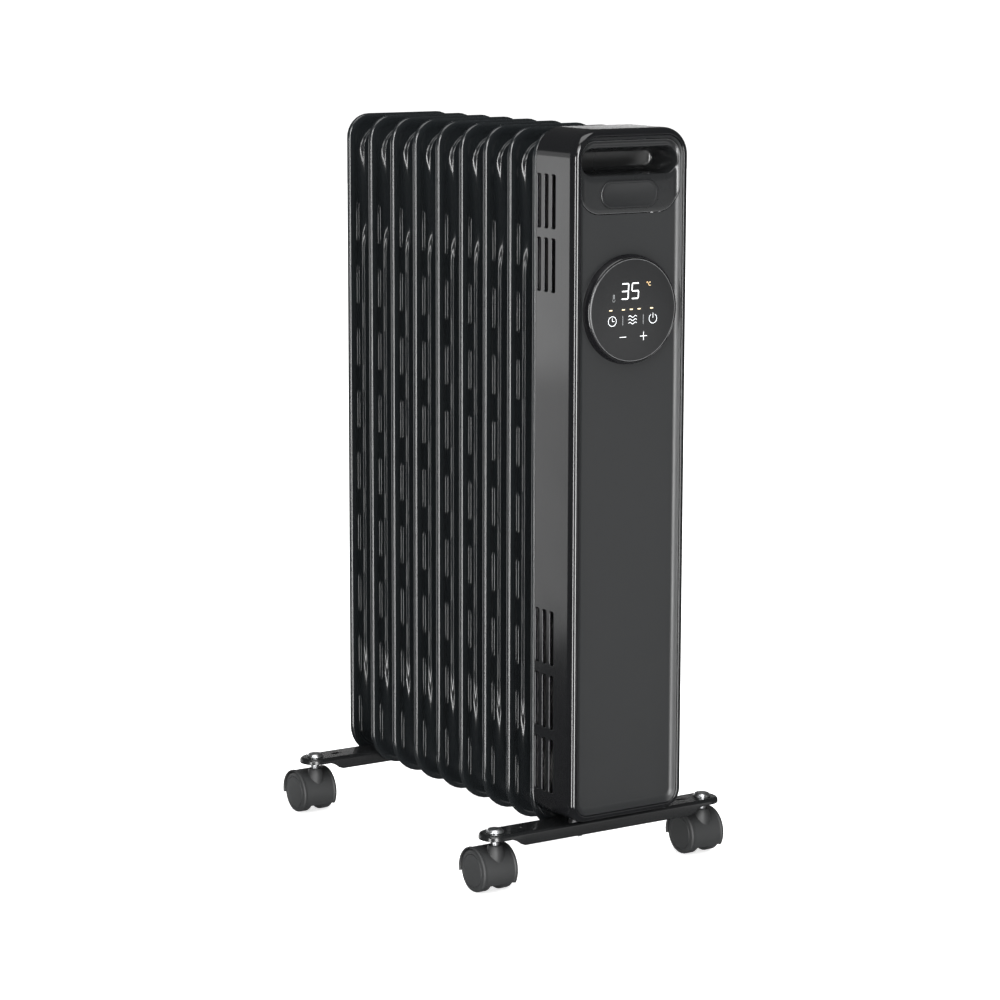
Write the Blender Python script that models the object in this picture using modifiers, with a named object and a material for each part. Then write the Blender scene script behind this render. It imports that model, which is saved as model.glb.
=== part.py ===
"""Oil filled radiator heater: nine oil filled fins, a control housing, two feet and four twin wheel castors.

Metres, +Z up. X runs across the heater, along its feet. Y runs along the row of fins, and the
control panel faces -Y. The origin is on the floor, under the middle of the heater.
"""
import math

import bmesh
import bpy
from mathutils import Matrix, Vector

# ------------------------------------------------------------------ sizes, in metres
GAP = 0.0003                    # clearance between touching pieces
OVERLAP = 0.0010                # depth that joined shapes run into each other
CUT_THROUGH = 0.0100            # spare length of a cutter beyond the wall it cuts
WELD = 0.000001                 # points nearer than this are one
MERGE = 0.0001                  # the same where copies and turns meet

# Castors
WHEEL_RADIUS = 0.0185
WHEEL_WIDTH = 0.0110
WHEEL_EDGE = 0.0014             # rounding of the tread's edges
WHEEL_CAP = 0.0014              # wall outside the blind axle bore
AXLE_RADIUS = 0.0020
WEB_HALF_WIDTH = 0.0053         # middle web of the hood, which holds stem and axle
HOOD_GAP = 0.0008               # between tread and hood
HOOD_WALL = 0.0012
HOOD_OVERHANG = 0.0002          # hood's side edge beyond the wheel's outer face
TRAIL = 0.0100                  # wheel axle behind the stem
HOOD_TILT = 15                  # degrees that the hood's lower edge falls towards the front
HOOD_OPEN = 0.0068              # hood's lower edge below the axle
STEM_RADIUS = 0.0038
STEM_HEAD_RADIUS = 0.00775
STEM_HEAD_HEIGHT = 0.0033
STEM_HEAD_FLAT = 0.0047         # radius of the head's flat top
STEM_HEAD_EDGE = 0.0013         # height of the head's rim
STEM_OVER_AXLE = 0.0015         # between the axle and the stem's end
BOSS_TOP_RADIUS = 0.0060
BOSS_BASE_RADIUS = 0.0076
BOSS_RISE = 0.0030              # boss above the hood's crown
BOSS_ROOT = 0.0092              # boss's lower end above the axle

# Feet
FOOT_CLEARANCE = 0.0016         # hood crown to the foot's lower edge
FOOT_DEPTH = 0.0114
FOOT_SHEET = 0.0015
FOOT_SIDE_GAP = 0.0023          # foot to the fin rims beside it
FOOT_LIP = 0.0056               # depth of the foot's edge at its ends
FOOT_TAPER_START = 0.0880       # full depth inboard of this
FOOT_TAPER_END = 0.0990
STEM_SPACING = 0.2154           # between left and right stems
STUD_SPACING = 0.0540
STUD_RADIUS = 0.0030
SPACER_RADIUS = 0.0050
NUT_RADIUS = 0.0056
NUT_HEIGHT = 0.0048
WING_SHEET = 0.0016
WING_DROP = 0.0128              # wing tip below the foot's plate
WING_TIP_WIDTH = 0.0045
WING_SLOPE = 0.0016             # fall of the wing's lower edge
WING_TOP = 0.0050               # wing's outer edge below the foot's plate
SADDLE_WIDTH = 0.0245
SADDLE_GRIP = 0.0030            # saddle's edges above the header's underside
BRACKET_RISE = 0.0060           # bracket above the bottom header
BRACKET_MARGIN = 0.0070         # bracket beyond the header's sides
BOLT_END = 0.0010               # bolt beyond the foot's lower edge
REAR_FOOT_SHIFT = 0.0010
FRONT_FOOT_GAP = 0.0040         # front foot to the front fin's rim

# Fins
FIN_COUNT = 9
FIN_PITCH = 0.0376
FIN_WIDTH = 0.1160
FIN_HEIGHT = 0.5940
FIN_DROP = 0.0120               # fin's lower edge below the foot's top
FIN_TOP_RADIUS = 0.0220
FIN_BOTTOM_RADIUS = 0.0310
RIM_DEPTH = 0.0050
RIM_BAND = 0.0060
WEB_SHEET = 0.0012
CHAMBER_DEPTH = 0.0070
CHAMBER_WALL = 0.0008
CHAMBER_SIDE = 0.0107           # fin's edge to the chamber
CHAMBER_TOP = 0.0095
CHAMBER_BOTTOM = 0.0080
CHAMBER_TOP_RADIUS = 0.0260
CHAMBER_BOTTOM_RADIUS = 0.0220

# Headers and heating element
HEADER_RADIUS = 0.0175
HEADER_WALL = 0.0020
HEADER_SADDLE = 0.0125          # foot's top to the underside of the bottom header
HEADER_DROP = 0.0380            # fin's top to the middle of the top header
HEADER_NOSE = 0.0030            # header's end ahead of the back plate
PORT_RADIUS = 0.0022
ELEMENT_RADIUS = 0.0040
ELEMENT_SPREAD = 0.0140         # between the two legs
ELEMENT_TIP = 0.0100
FLANGE_SHEET = 0.0040
PLUG_DEPTH = 0.0060
PLUG_FLANGE_RADIUS = 0.0160
PLUG_FLANGE_SHEET = 0.0018
PLUG_HEAD_RADIUS = 0.0084
PLUG_HEAD_REACH = 0.0050
U_BOLT_RADIUS = 0.0025

# Housing
HOUSING_SIDE_STEP = 0.0005      # housing's side inside the fin's edge
HOUSING_DEPTH = 0.0557
HOUSING_LIFT = 0.0066           # foot's top to the housing's underside
HOUSING_RISE = 0.0022           # housing's top above the fins
HOUSING_TOP_RADIUS = 0.0230
HOUSING_BOTTOM_RADIUS = 0.0170
HOUSING_WALL = 0.0022
HOUSING_EDGE = 0.0046           # rounding of the front rim
LIP_BAND = 0.0060               # housing's side to the front opening
PANEL_RECESS = 0.0050           # front rim to the panel's face
PANEL_SHEET = 0.0022
BACK_SHEET = 0.0012

# Handle and badge
INSERT_WIDTH = 0.0990
INSERT_HEIGHT = 0.0600
INSERT_DROP = 0.0092            # housing's top to the insert
INSERT_BOTTOM_RADIUS = 0.0200
HANDLE_WIDTH = 0.0950
HANDLE_HEIGHT = 0.0220
HANDLE_DROP = 0.0065            # insert's top to the opening
HANDLE_DEPTH = 0.0335
CUP_WALL = 0.0014
CUP_STEP = 0.0004               # panel's face to the cup's front edge
BADGE_WIDTH = 0.0572
BADGE_HEIGHT = 0.0225
BADGE_RISE = 0.0045             # insert's lower edge to the badge
BADGE_SHEET = 0.0010

# Control disc
DISC_DROP = 0.1482              # housing's top to the middle of the disc
DISC_RADIUS = 0.0428
BEZEL_BASE_RADIUS = 0.0455
BEZEL_FACE_RADIUS = 0.0440
BEZEL_EDGE = 0.0020             # depth of the bezel's slope
DISC_PROUD = 0.0070             # disc's face ahead of the panel
DISC_SHEET = 0.0024
DISC_STEP = 0.0003              # disc's face ahead of the bezel
BOARD_SHEET = 0.0014
BOARD_INSET = 0.0020            # disc's edge to the display board's edge
CABLE_HOLE = 0.0060

# Side grilles
SLOT_WIDTH = 0.0058
SLOT_PITCH = 0.0105
SLOT_COLUMNS = 3
SLOT_INSET = 0.0042             # housing's rear edge to the middle of the first column
UPPER_SLOT_HEIGHT = 0.0442
UPPER_SLOT_PITCH = 0.0522
UPPER_SLOT_ROWS = 2
UPPER_SLOT_DROP = 0.0372
LOWER_SLOT_HEIGHT = 0.0460
LOWER_SLOT_PITCH = 0.0549
LOWER_SLOT_ROWS = 3
LOWER_SLOT_RISE = 0.0216

# Pieces inside the housing
POWER_BOARD = Vector((0.0700, 0.0016, 0.0900))
POWER_BOARD_RISE = 0.2700       # housing's underside to the middle of the board
RELAY = Vector((0.0190, 0.0160, 0.0150))
TRANSFORMER = Vector((0.0320, 0.0180, 0.0260))
BOARD_BLOCKS = (                # size, and place across and up from the board's middle
    (RELAY, -0.0200, 0.0240),
    (RELAY, 0.0100, 0.0240),
    (TRANSFORMER, -0.0060, -0.0200),
)
TERMINAL_BLOCK = Vector((0.0320, 0.0140, 0.0180))
TERMINAL_RISE = 0.0900
TERMINAL_PITCH = 0.0100
TERMINAL_HOLE = 0.0024
TILT_SWITCH = Vector((0.0240, 0.0120, 0.0200))
TILT_RISE = 0.1500
TILT_FOOT = Vector((0.0340, 0.0020, 0.0080))
CUTOUT_RADIUS = 0.0085
CUTOUT_DEPTH = 0.0060
CUTOUT_CAP_RADIUS = 0.0042
CUTOUT_CAP_REACH = 0.0100
CUTOUT_FLANGE_RADIUS = 0.0115
CUTOUT_FLANGE_SHEET = 0.0010
CUTOUT_RISE = 0.0720
CUTOUT_SIDE = 0.0300
SENSOR_RADIUS = 0.0030
SENSOR_LENGTH = 0.0220
SENSOR_RISE = 0.0320
BOARD_BEHIND = 0.0110           # back plate to the pieces mounted on it
WIRE_RADIUS = 0.0011
WIRE_INTO_BLOCK = 0.0040
WIRE_SPREAD = 0.0020            # first bend's handle, outwards
WIRE_FORWARD = 0.0160           # first bend's handle, forwards
WIRE_DROP = 0.0220              # last bend's handle, below the terminal block
GLAND_RADIUS = 0.0065
GLAND_FLANGE = 0.0095
GLAND_BORE = 0.0038
GLAND_REACH = 0.0042
GLAND_NOSE_RADIUS = 0.0060
GLAND_FLANGE_EDGE = 0.0016
GLAND_NUT_RADIUS = 0.0085
GLAND_NUT_HEIGHT = 0.0040
GLAND_RISE = 0.0240
GLAND_AHEAD = 0.0200            # housing's rear edge to the gland

# Facets
ROUND = 16                      # sides of a wheel, header or disc
SMALL = 10                      # sides of a bolt or hole
CORNER = 3                      # steps of a rounded corner
HOOD_SIDES = 24                 # sides of a castor's hood

# ------------------------------------------------------------------ heights
HOOD_RADIUS = WHEEL_RADIUS + HOOD_GAP + HOOD_WALL
HOOD_CROWN = WHEEL_RADIUS + HOOD_RADIUS
FOOT_BASE = HOOD_CROWN + FOOT_CLEARANCE
FOOT_TOP = FOOT_BASE + FOOT_DEPTH
FIN_BASE = FOOT_TOP - FIN_DROP
FIN_TOP = FIN_BASE + FIN_HEIGHT
BOTTOM_HEADER_Z = FOOT_TOP + HEADER_SADDLE + HEADER_RADIUS
TOP_HEADER_Z = FIN_TOP - HEADER_DROP
HOUSING_BASE = FOOT_TOP + HOUSING_LIFT
HOUSING_TOP = FIN_TOP + HOUSING_RISE
DISC_Z = HOUSING_TOP - DISC_DROP

# ------------------------------------------------------------------ widths
HOUSING_WIDTH = FIN_WIDTH - 2 * HOUSING_SIDE_STEP
STEM_X = STEM_SPACING / 2
WHEEL_INNER = WEB_HALF_WIDTH + 2 * GAP
WHEEL_OUTER = WHEEL_INNER + WHEEL_WIDTH
HOOD_HALF_WIDTH = WHEEL_OUTER + HOOD_OVERHANG
FOOT_WIDTH = FIN_PITCH - RIM_DEPTH - 2 * FOOT_SIDE_GAP
U_BOLT_X = HEADER_RADIUS + 2 * GAP + U_BOLT_RADIUS

# ------------------------------------------------------------------ places along the row, from the
# rear edge of the front fin's rim, then moved so that the origin is under the middle
ROW_LENGTH = (FIN_COUNT - 1) * FIN_PITCH
REAR_FOOT_BEHIND = ROW_LENGTH - FIN_PITCH / 2 - RIM_DEPTH / 2 - REAR_FOOT_SHIFT
FRONT_FOOT_AHEAD = RIM_DEPTH + FRONT_FOOT_GAP + FOOT_WIDTH / 2
CHAMBER_FRONT = RIM_DEPTH / 2 + CHAMBER_DEPTH / 2
SHELL_BACK_AHEAD = CHAMBER_FRONT + GAP
RIM_AHEAD = SHELL_BACK_AHEAD + HOUSING_DEPTH
PANEL_AHEAD = RIM_AHEAD - PANEL_RECESS
FRONT_REACH = max(PANEL_AHEAD + DISC_PROUD, RIM_AHEAD, FRONT_FOOT_AHEAD - TRAIL + HOOD_RADIUS)
REAR_REACH = max(REAR_FOOT_BEHIND + TRAIL + HOOD_RADIUS, ROW_LENGTH)
DATUM_Y = (FRONT_REACH - REAR_REACH) / 2

FRONT_FOOT_Y = DATUM_Y - FRONT_FOOT_AHEAD
REAR_FOOT_Y = DATUM_Y + REAR_FOOT_BEHIND
SHELL_BACK_Y = DATUM_Y - SHELL_BACK_AHEAD
RIM_Y = DATUM_Y - RIM_AHEAD
PANEL_Y = DATUM_Y - PANEL_AHEAD
BACK_PLATE_FRONT_Y = SHELL_BACK_Y - BACK_SHEET
HEADER_FRONT_Y = BACK_PLATE_FRONT_Y - HEADER_NOSE

# ------------------------------------------------------------------ scene, collections, materials
for old in list(bpy.data.objects):
    bpy.data.objects.remove(old, do_unlink=True)

PARTS = bpy.data.collections.new("oil_filled_radiator_heater")
CUTTERS = bpy.data.collections.new("cutters")
bpy.context.scene.collection.children.link(PARTS)
bpy.context.scene.collection.children.link(CUTTERS)


def material(name, colour, roughness, metallic=0.0):
    """Make a Principled material."""
    made = bpy.data.materials.new(name)
    made.use_nodes = True
    shader = made.node_tree.nodes["Principled BSDF"]
    shader.inputs["Base Color"].default_value = (*colour, 1.0)
    shader.inputs["Roughness"].default_value = roughness
    shader.inputs["Metallic"].default_value = metallic
    made.diffuse_color = (*colour, 1.0)
    return made


FIN_PAINT = material("fin_paint", (0.013, 0.016, 0.018), 0.32)
GLOSS_BLACK = material("gloss_black_shell", (0.008, 0.008, 0.009), 0.15)
SATIN_PANEL = material("satin_panel", (0.045, 0.048, 0.051), 0.48)
DISC_GLASS = material("disc_glass", (0.035, 0.037, 0.040), 0.30)
BADGE_BLACK = material("badge_black", (0.03, 0.03, 0.032), 0.35)
FOOT_PAINT = material("foot_paint", (0.020, 0.022, 0.024), 0.35)
CASTOR_PLASTIC = material("castor_plastic", (0.035, 0.037, 0.039), 0.55)
BRIGHT_ZINC = material("bright_zinc", (0.75, 0.75, 0.76), 0.25, 1.0)
PLAIN_STEEL = material("plain_steel", (0.45, 0.45, 0.46), 0.40, 1.0)
HEADER_STEEL = material("header_steel", (0.013, 0.016, 0.018), 0.35)
BOARD_GREEN = material("board_green", (0.02, 0.12, 0.05), 0.45)
MOULDED_WHITE = material("moulded_white", (0.70, 0.69, 0.65), 0.45)
BRASS = material("brass", (0.60, 0.45, 0.18), 0.30, 1.0)
WIRE_BROWN = material("wire_brown", (0.16, 0.06, 0.02), 0.45)
WIRE_BLUE = material("wire_blue", (0.02, 0.08, 0.30), 0.45)


# ------------------------------------------------------------------ modelling helpers
def evaluated_mesh(source, name):
    """Return a welded mesh of an object as its modifiers leave it."""
    graph = bpy.context.evaluated_depsgraph_get()
    graph.update()
    made = bpy.data.meshes.new_from_object(source.evaluated_get(graph))
    made.name = name
    work = bmesh.new()
    work.from_mesh(made)
    bmesh.ops.remove_doubles(work, verts=work.verts, dist=WELD)
    bmesh.ops.recalc_face_normals(work, faces=work.faces)
    work.to_mesh(made)
    work.free()
    return made


def add(name, mesh, place=(0, 0, 0), collection=PARTS):
    """Add an object to a collection."""
    made = bpy.data.objects.new(name, mesh)
    made.location = place
    collection.objects.link(made)
    return made


def dress(piece, paint, angle=35):
    """Give a piece its material and smooth shading below an angle."""
    piece.data.materials.clear()
    piece.data.materials.append(paint)
    piece.data.shade_smooth()
    piece.data.set_sharp_from_angle(angle=math.radians(angle))
    return piece


def park(cutter):
    """Move a cutter out of the model."""
    for owner in list(cutter.users_collection):
        owner.objects.unlink(cutter)
    CUTTERS.objects.link(cutter)
    cutter.hide_render = True
    cutter.display_type = "WIRE"


def boolean(piece, tool, operation):
    """Cut a tool out of a piece, or join it on."""
    step = piece.modifiers.new(tool.name, "BOOLEAN")
    step.operation = operation
    step.solver = "EXACT"
    step.object = tool
    park(tool)


def cut(piece, *tools):
    """Cut tools out of a piece."""
    for tool in tools:
        boolean(piece, tool, "DIFFERENCE")


def join(piece, *tools):
    """Join tools onto a piece."""
    for tool in tools:
        boolean(piece, tool, "UNION")


def repeat(piece, count, step):
    """Repeat a tool at equal steps."""
    array = piece.modifiers.new("repeat", "ARRAY")
    array.count = count
    array.use_relative_offset = False
    array.use_constant_offset = True
    array.constant_offset_displace = step
    array.merge_threshold = MERGE


def rounded(width, low, high, top_radius, bottom_radius, steps=CORNER):
    """Outline of a rounded upright rectangle, anticlockwise."""
    side = width / 2
    corners = (
        (side - bottom_radius, low + bottom_radius, bottom_radius, -90),
        (side - top_radius, high - top_radius, top_radius, 0),
        (-side + top_radius, high - top_radius, top_radius, 90),
        (-side + bottom_radius, low + bottom_radius, bottom_radius, 180),
    )
    points = []
    for across, up, radius, start in corners:
        for step in range(steps + 1):
            turn = math.radians(start + 90 * step / steps)
            points.append((across + radius * math.cos(turn), up + radius * math.sin(turn)))
    return points


def stadium(width, height, steps=6):
    """Outline with half round ends at left and right, centred."""
    radius = height / 2
    reach = width / 2 - radius
    points = []
    for centre, start in ((reach, -90), (-reach, 90)):
        for step in range(steps + 1):
            turn = math.radians(start + 180 * step / steps)
            points.append((centre + radius * math.cos(turn), radius * math.sin(turn)))
    return points


UPRIGHT = Matrix.Rotation(math.radians(90), 4, "X")          # outline across X and up Z
SIDEWAYS = Matrix.Rotation(math.radians(90), 4, "Z") @ UPRIGHT   # outline along Y and up Z
FLAT = Matrix.Identity(4)                                    # outline across X and along Y


def slab(name, points, thickness, place, facing=UPRIGHT):
    """Extrude a flat outline, half of its thickness to each side of a place."""
    curve = bpy.data.curves.new(name, "CURVE")
    curve.dimensions = "2D"
    curve.fill_mode = "BOTH"
    curve.extrude = thickness / 2
    line = curve.splines.new("POLY")
    line.points.add(len(points) - 1)
    for point, (across, up) in zip(line.points, points):
        point.co = (across, up, 0, 1)
    line.use_cyclic_u = True
    drawn = add(name + "_outline", curve)
    mesh = evaluated_mesh(drawn, name)
    bpy.data.objects.remove(drawn, do_unlink=True)
    mesh.transform(facing)
    return add(name, mesh, place)


def block(name, size, place):
    """Add a box by its size and centre."""
    work = bmesh.new()
    bmesh.ops.create_cube(work, size=1.0)
    bmesh.ops.scale(work, vec=size, verts=work.verts)
    mesh = bpy.data.meshes.new(name)
    work.to_mesh(mesh)
    work.free()
    return add(name, mesh, place)


ALONG_X = Matrix.Rotation(math.radians(90), 4, "Y")
ALONG_Y = Matrix.Rotation(math.radians(-90), 4, "X")
ALONG_Z = Matrix.Identity(4)


def rod(name, radius, length, place, axis=ALONG_Y, sides=SMALL, far_radius=None):
    """Add a cylinder, or a cone whose far end has another radius, centred on a place."""
    work = bmesh.new()
    far = radius if far_radius is None else far_radius
    bmesh.ops.create_cone(work, cap_ends=True, segments=sides, radius1=radius, radius2=far,
                          depth=length, matrix=axis)
    mesh = bpy.data.meshes.new(name)
    work.to_mesh(mesh)
    work.free()
    return add(name, mesh, place)


def turned(name, profile, place, axis=ALONG_Z, sides=ROUND):
    """Turn a profile of (radius, height) points, given down its outer side, about a local axis."""
    work = bmesh.new()
    line = [work.verts.new((radius, 0, height)) for radius, height in profile]
    for upper, lower in zip(line, line[1:]):
        work.edges.new((upper, lower))
    mesh = bpy.data.meshes.new(name + "_profile")
    work.to_mesh(mesh)
    work.free()
    drawn = add(name + "_profile", mesh)
    screw = drawn.modifiers.new("turn", "SCREW")
    screw.steps = sides
    screw.render_steps = sides
    screw.use_merge_vertices = True
    screw.merge_threshold = MERGE
    made = evaluated_mesh(drawn, name)
    bpy.data.objects.remove(drawn, do_unlink=True)
    made.transform(axis)
    return add(name, made, place)


def tube(name, points, radius, paint, resolution=2):
    """Add a solid wire or tube along points."""
    curve = bpy.data.curves.new(name, "CURVE")
    curve.dimensions = "3D"
    curve.bevel_depth = radius
    curve.bevel_resolution = resolution
    curve.use_fill_caps = True
    line = curve.splines.new("POLY")
    line.points.add(len(points) - 1)
    for point, place in zip(line.points, points):
        point.co = (*place, 1)
    made = add(name, curve)
    mesh = evaluated_mesh(made, name)
    bpy.data.objects.remove(made, do_unlink=True)
    return dress(add(name, mesh), paint)


# ------------------------------------------------------------------ radiator body
def fin_inset(inset):
    """Outline of a fin, moved inwards."""
    return rounded(FIN_WIDTH - 2 * inset, inset, FIN_HEIGHT - inset,
                   FIN_TOP_RADIUS - inset, FIN_BOTTOM_RADIUS - inset)


def fin_mesh():
    """Make the mesh of one fin: rim, web and hollow chamber, with holes for both headers."""
    fin = slab("fin_rim", fin_inset(0), RIM_DEPTH, (0, 0, 0))
    cut(fin, slab("fin_inside", fin_inset(RIM_BAND), 2 * RIM_DEPTH, (0, 0, 0)))
    join(fin, slab("fin_web", fin_inset(RIM_BAND / 2), WEB_SHEET, (0, 0, 0)))
    width = FIN_WIDTH - 2 * CHAMBER_SIDE
    low = CHAMBER_BOTTOM
    high = FIN_HEIGHT - CHAMBER_TOP
    chamber = rounded(width, low, high, CHAMBER_TOP_RADIUS, CHAMBER_BOTTOM_RADIUS)
    join(fin, slab("fin_chamber", chamber, CHAMBER_DEPTH, (0, 0, 0)))
    inside = rounded(width - 2 * CHAMBER_WALL, low + CHAMBER_WALL, high - CHAMBER_WALL,
                     CHAMBER_TOP_RADIUS - CHAMBER_WALL, CHAMBER_BOTTOM_RADIUS - CHAMBER_WALL, 3)
    hollow = slab("fin_hollow", inside, CHAMBER_DEPTH - 2 * CHAMBER_WALL, (0, 0, 0))
    bore = rod("fin_bore", HEADER_RADIUS + GAP, 2 * CHAMBER_DEPTH, (0, 0, BOTTOM_HEADER_Z - FIN_BASE),
               sides=ROUND)
    repeat(bore, 2, (0, 0, TOP_HEADER_Z - BOTTOM_HEADER_Z))
    join(hollow, bore)
    cut(fin, hollow)
    mesh = evaluated_mesh(fin, "fin")
    bpy.data.objects.remove(fin, do_unlink=True)
    return mesh


def fin_middle(number):
    """Return the Y of a fin's middle plane; fin 1 is at the rear."""
    return DATUM_Y - RIM_DEPTH / 2 + (FIN_COUNT - number) * FIN_PITCH


def build_fins():
    """Place the fins, which share one mesh."""
    shared = fin_mesh()
    for number in range(1, FIN_COUNT + 1):
        dress(add(f"fin_{number}", shared, (0, fin_middle(number), FIN_BASE)), FIN_PAINT)


def header(name, height, port_side):
    """Make a header pipe, closed at the rear, with a port into each fin's chamber."""
    rear = fin_middle(1) + CHAMBER_DEPTH / 2
    length = rear - HEADER_FRONT_Y
    pipe = rod(name, HEADER_RADIUS, length, (0, rear - length / 2, height), sides=ROUND)
    bore_length = length - HEADER_WALL
    cut(pipe, rod(name + "_bore", HEADER_RADIUS - HEADER_WALL, 2 * bore_length,
                  (0, HEADER_FRONT_Y, height), sides=ROUND))
    port = rod(name + "_port", PORT_RADIUS, 2 * (HEADER_WALL + OVERLAP),
               (0, fin_middle(FIN_COUNT), height + port_side * (HEADER_RADIUS - HEADER_WALL / 2)),
               axis=ALONG_Z, sides=6)
    repeat(port, FIN_COUNT, (0, FIN_PITCH, 0))
    cut(pipe, port)
    return dress(pipe, HEADER_STEEL)


def build_filler_plug():
    """Make the plug that closes the top header."""
    bore = HEADER_RADIUS - HEADER_WALL - GAP
    face = HEADER_FRONT_Y - GAP
    profile = (
        (0, PLUG_DEPTH + GAP), (bore, PLUG_DEPTH + GAP), (bore, 0), (PLUG_FLANGE_RADIUS, 0),
        (PLUG_FLANGE_RADIUS, -PLUG_FLANGE_SHEET), (PLUG_HEAD_RADIUS, -PLUG_FLANGE_SHEET),
        (PLUG_HEAD_RADIUS, -PLUG_HEAD_REACH), (0, -PLUG_HEAD_REACH),
    )
    plug = turned("oil_filler_plug", profile, (0, face, TOP_HEADER_Z), axis=ALONG_Y)
    dress(plug, PLAIN_STEEL)


def build_element():
    """Make the hairpin heating element and the flange that holds it."""
    side = ELEMENT_SPREAD / 2
    flange_face = HEADER_FRONT_Y - GAP - FLANGE_SHEET
    tip = flange_face - ELEMENT_TIP
    turn_y = fin_middle(2)
    points = [(-side, tip, BOTTOM_HEADER_Z), (-side, turn_y, BOTTOM_HEADER_Z)]
    for step in range(1, 6):
        angle = math.pi * step / 6
        points.append((-side * math.cos(angle), turn_y + side * math.sin(angle), BOTTOM_HEADER_Z))
    points.append((side, turn_y, BOTTOM_HEADER_Z))
    points.append((side, tip, BOTTOM_HEADER_Z))
    tube("heating_element", points, ELEMENT_RADIUS, PLAIN_STEEL, resolution=1)
    bore = HEADER_RADIUS - HEADER_WALL - GAP
    profile = (
        (0, PLUG_DEPTH), (bore, PLUG_DEPTH), (bore, -GAP), (HEADER_RADIUS, -GAP),
        (HEADER_RADIUS, -GAP - FLANGE_SHEET), (0, -GAP - FLANGE_SHEET),
    )
    flange = turned("element_flange", profile, (0, HEADER_FRONT_Y, BOTTOM_HEADER_Z), axis=ALONG_Y)
    for across in (-side, side):
        cut(flange, rod("flange_hole", ELEMENT_RADIUS + GAP, 4 * CUT_THROUGH, (across, HEADER_FRONT_Y, BOTTOM_HEADER_Z)))
    dress(flange, BRASS)


# ------------------------------------------------------------------ housing
def shell_outline(inset):
    """Outline of the housing, moved inwards."""
    return rounded(HOUSING_WIDTH - 2 * inset, HOUSING_BASE + inset, HOUSING_TOP - inset,
                   HOUSING_TOP_RADIUS - inset, HOUSING_BOTTOM_RADIUS - inset)


def slots(name, height, pitch, rows, middle):
    """Make the cutter of one side grille, through both sides of the housing."""
    outline = [(up, across) for across, up in stadium(height, SLOT_WIDTH, 2)]
    place = (0, SHELL_BACK_Y - SLOT_INSET, middle)
    tool = slab(name, outline[::-1], HOUSING_WIDTH + CUT_THROUGH, place, facing=SIDEWAYS)
    repeat(tool, SLOT_COLUMNS, (0, -SLOT_PITCH, 0))
    repeat(tool, rows, (0, 0, pitch))
    return tool


def build_shell():
    """Make the one piece wrap of the housing, with its front rim and side grilles."""
    middle_y = (SHELL_BACK_Y + RIM_Y) / 2
    shell = slab("housing_shell", shell_outline(0), HOUSING_DEPTH, (0, middle_y, 0))
    edge = shell.modifiers.new("front_rim", "BEVEL")
    edge.width = HOUSING_EDGE
    edge.segments = 3
    edge.limit_method = "WEIGHT"
    weights = shell.data.attributes.new("bevel_weight_edge", "FLOAT", "EDGE")
    for line in shell.data.edges:
        ends = [shell.data.vertices[index].co.y for index in line.vertices]
        weights.data[line.index].value = 1.0 if max(ends) < 0 else 0.0
    inner_front = PANEL_Y + PANEL_SHEET
    depth = 2 * (SHELL_BACK_Y - inner_front)
    cut(shell, slab("shell_inside", shell_outline(HOUSING_WALL), depth, (0, SHELL_BACK_Y, 0)))
    cut(shell, slab("shell_opening", shell_outline(LIP_BAND), 3 * CUT_THROUGH, (0, RIM_Y, 0)))
    upper = HOUSING_TOP - UPPER_SLOT_DROP - UPPER_SLOT_HEIGHT / 2 - (UPPER_SLOT_ROWS - 1) * UPPER_SLOT_PITCH
    lower = HOUSING_BASE + LOWER_SLOT_RISE + LOWER_SLOT_HEIGHT / 2
    cut(shell, slots("upper_slots", UPPER_SLOT_HEIGHT, UPPER_SLOT_PITCH, UPPER_SLOT_ROWS, upper))
    cut(shell, slots("lower_slots", LOWER_SLOT_HEIGHT, LOWER_SLOT_PITCH, LOWER_SLOT_ROWS, lower))
    for side in (-1, 1):
        cut(shell, rod("spacer_hole", SPACER_RADIUS + GAP, 2 * CUT_THROUGH,
                       (side * STUD_SPACING / 2, FRONT_FOOT_Y, HOUSING_BASE), axis=ALONG_Z))
    cut(shell, rod("gland_hole", GLAND_RADIUS + GAP, 2 * CUT_THROUGH,
                   (HOUSING_WIDTH / 2, SHELL_BACK_Y - GLAND_AHEAD, gland_height()), axis=ALONG_X, sides=ROUND))
    dress(shell, GLOSS_BLACK)


def gland_height():
    """Return the height of the cord gland, clear of the lower grille's first row."""
    return HOUSING_BASE + LOWER_SLOT_RISE + LOWER_SLOT_PITCH * LOWER_SLOT_ROWS + GLAND_RISE


def build_back_plate():
    """Make the plate that closes the housing towards the fins."""
    inset = HOUSING_WALL + GAP
    middle = SHELL_BACK_Y - BACK_SHEET / 2
    plate = slab("housing_back_plate", shell_outline(inset), BACK_SHEET, (0, middle, 0))
    for height in (BOTTOM_HEADER_Z, TOP_HEADER_Z):
        cut(plate, rod("back_bore", HEADER_RADIUS + GAP, CUT_THROUGH, (0, middle, height), sides=ROUND))
    dress(plate, PLAIN_STEEL)


def insert_outline(grow):
    """Outline of the handle insert, moved outwards."""
    top = HOUSING_TOP - INSERT_DROP
    top_radius = HOUSING_TOP_RADIUS - INSERT_DROP
    return rounded(INSERT_WIDTH + 2 * grow, top - INSERT_HEIGHT - grow, top + grow,
                   top_radius + grow, INSERT_BOTTOM_RADIUS + grow)


def build_front_panel():
    """Make the recessed front panel, cut out for the handle insert."""
    middle = PANEL_Y + PANEL_SHEET / 2
    panel = slab("front_panel", shell_outline(LIP_BAND + GAP), PANEL_SHEET, (0, middle, 0))
    cut(panel, slab("insert_cut", insert_outline(GAP), CUT_THROUGH, (0, middle, 0)))
    cut(panel, rod("cable_hole", CABLE_HOLE, CUT_THROUGH, (0, middle, DISC_Z)))
    dress(panel, SATIN_PANEL)


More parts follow.
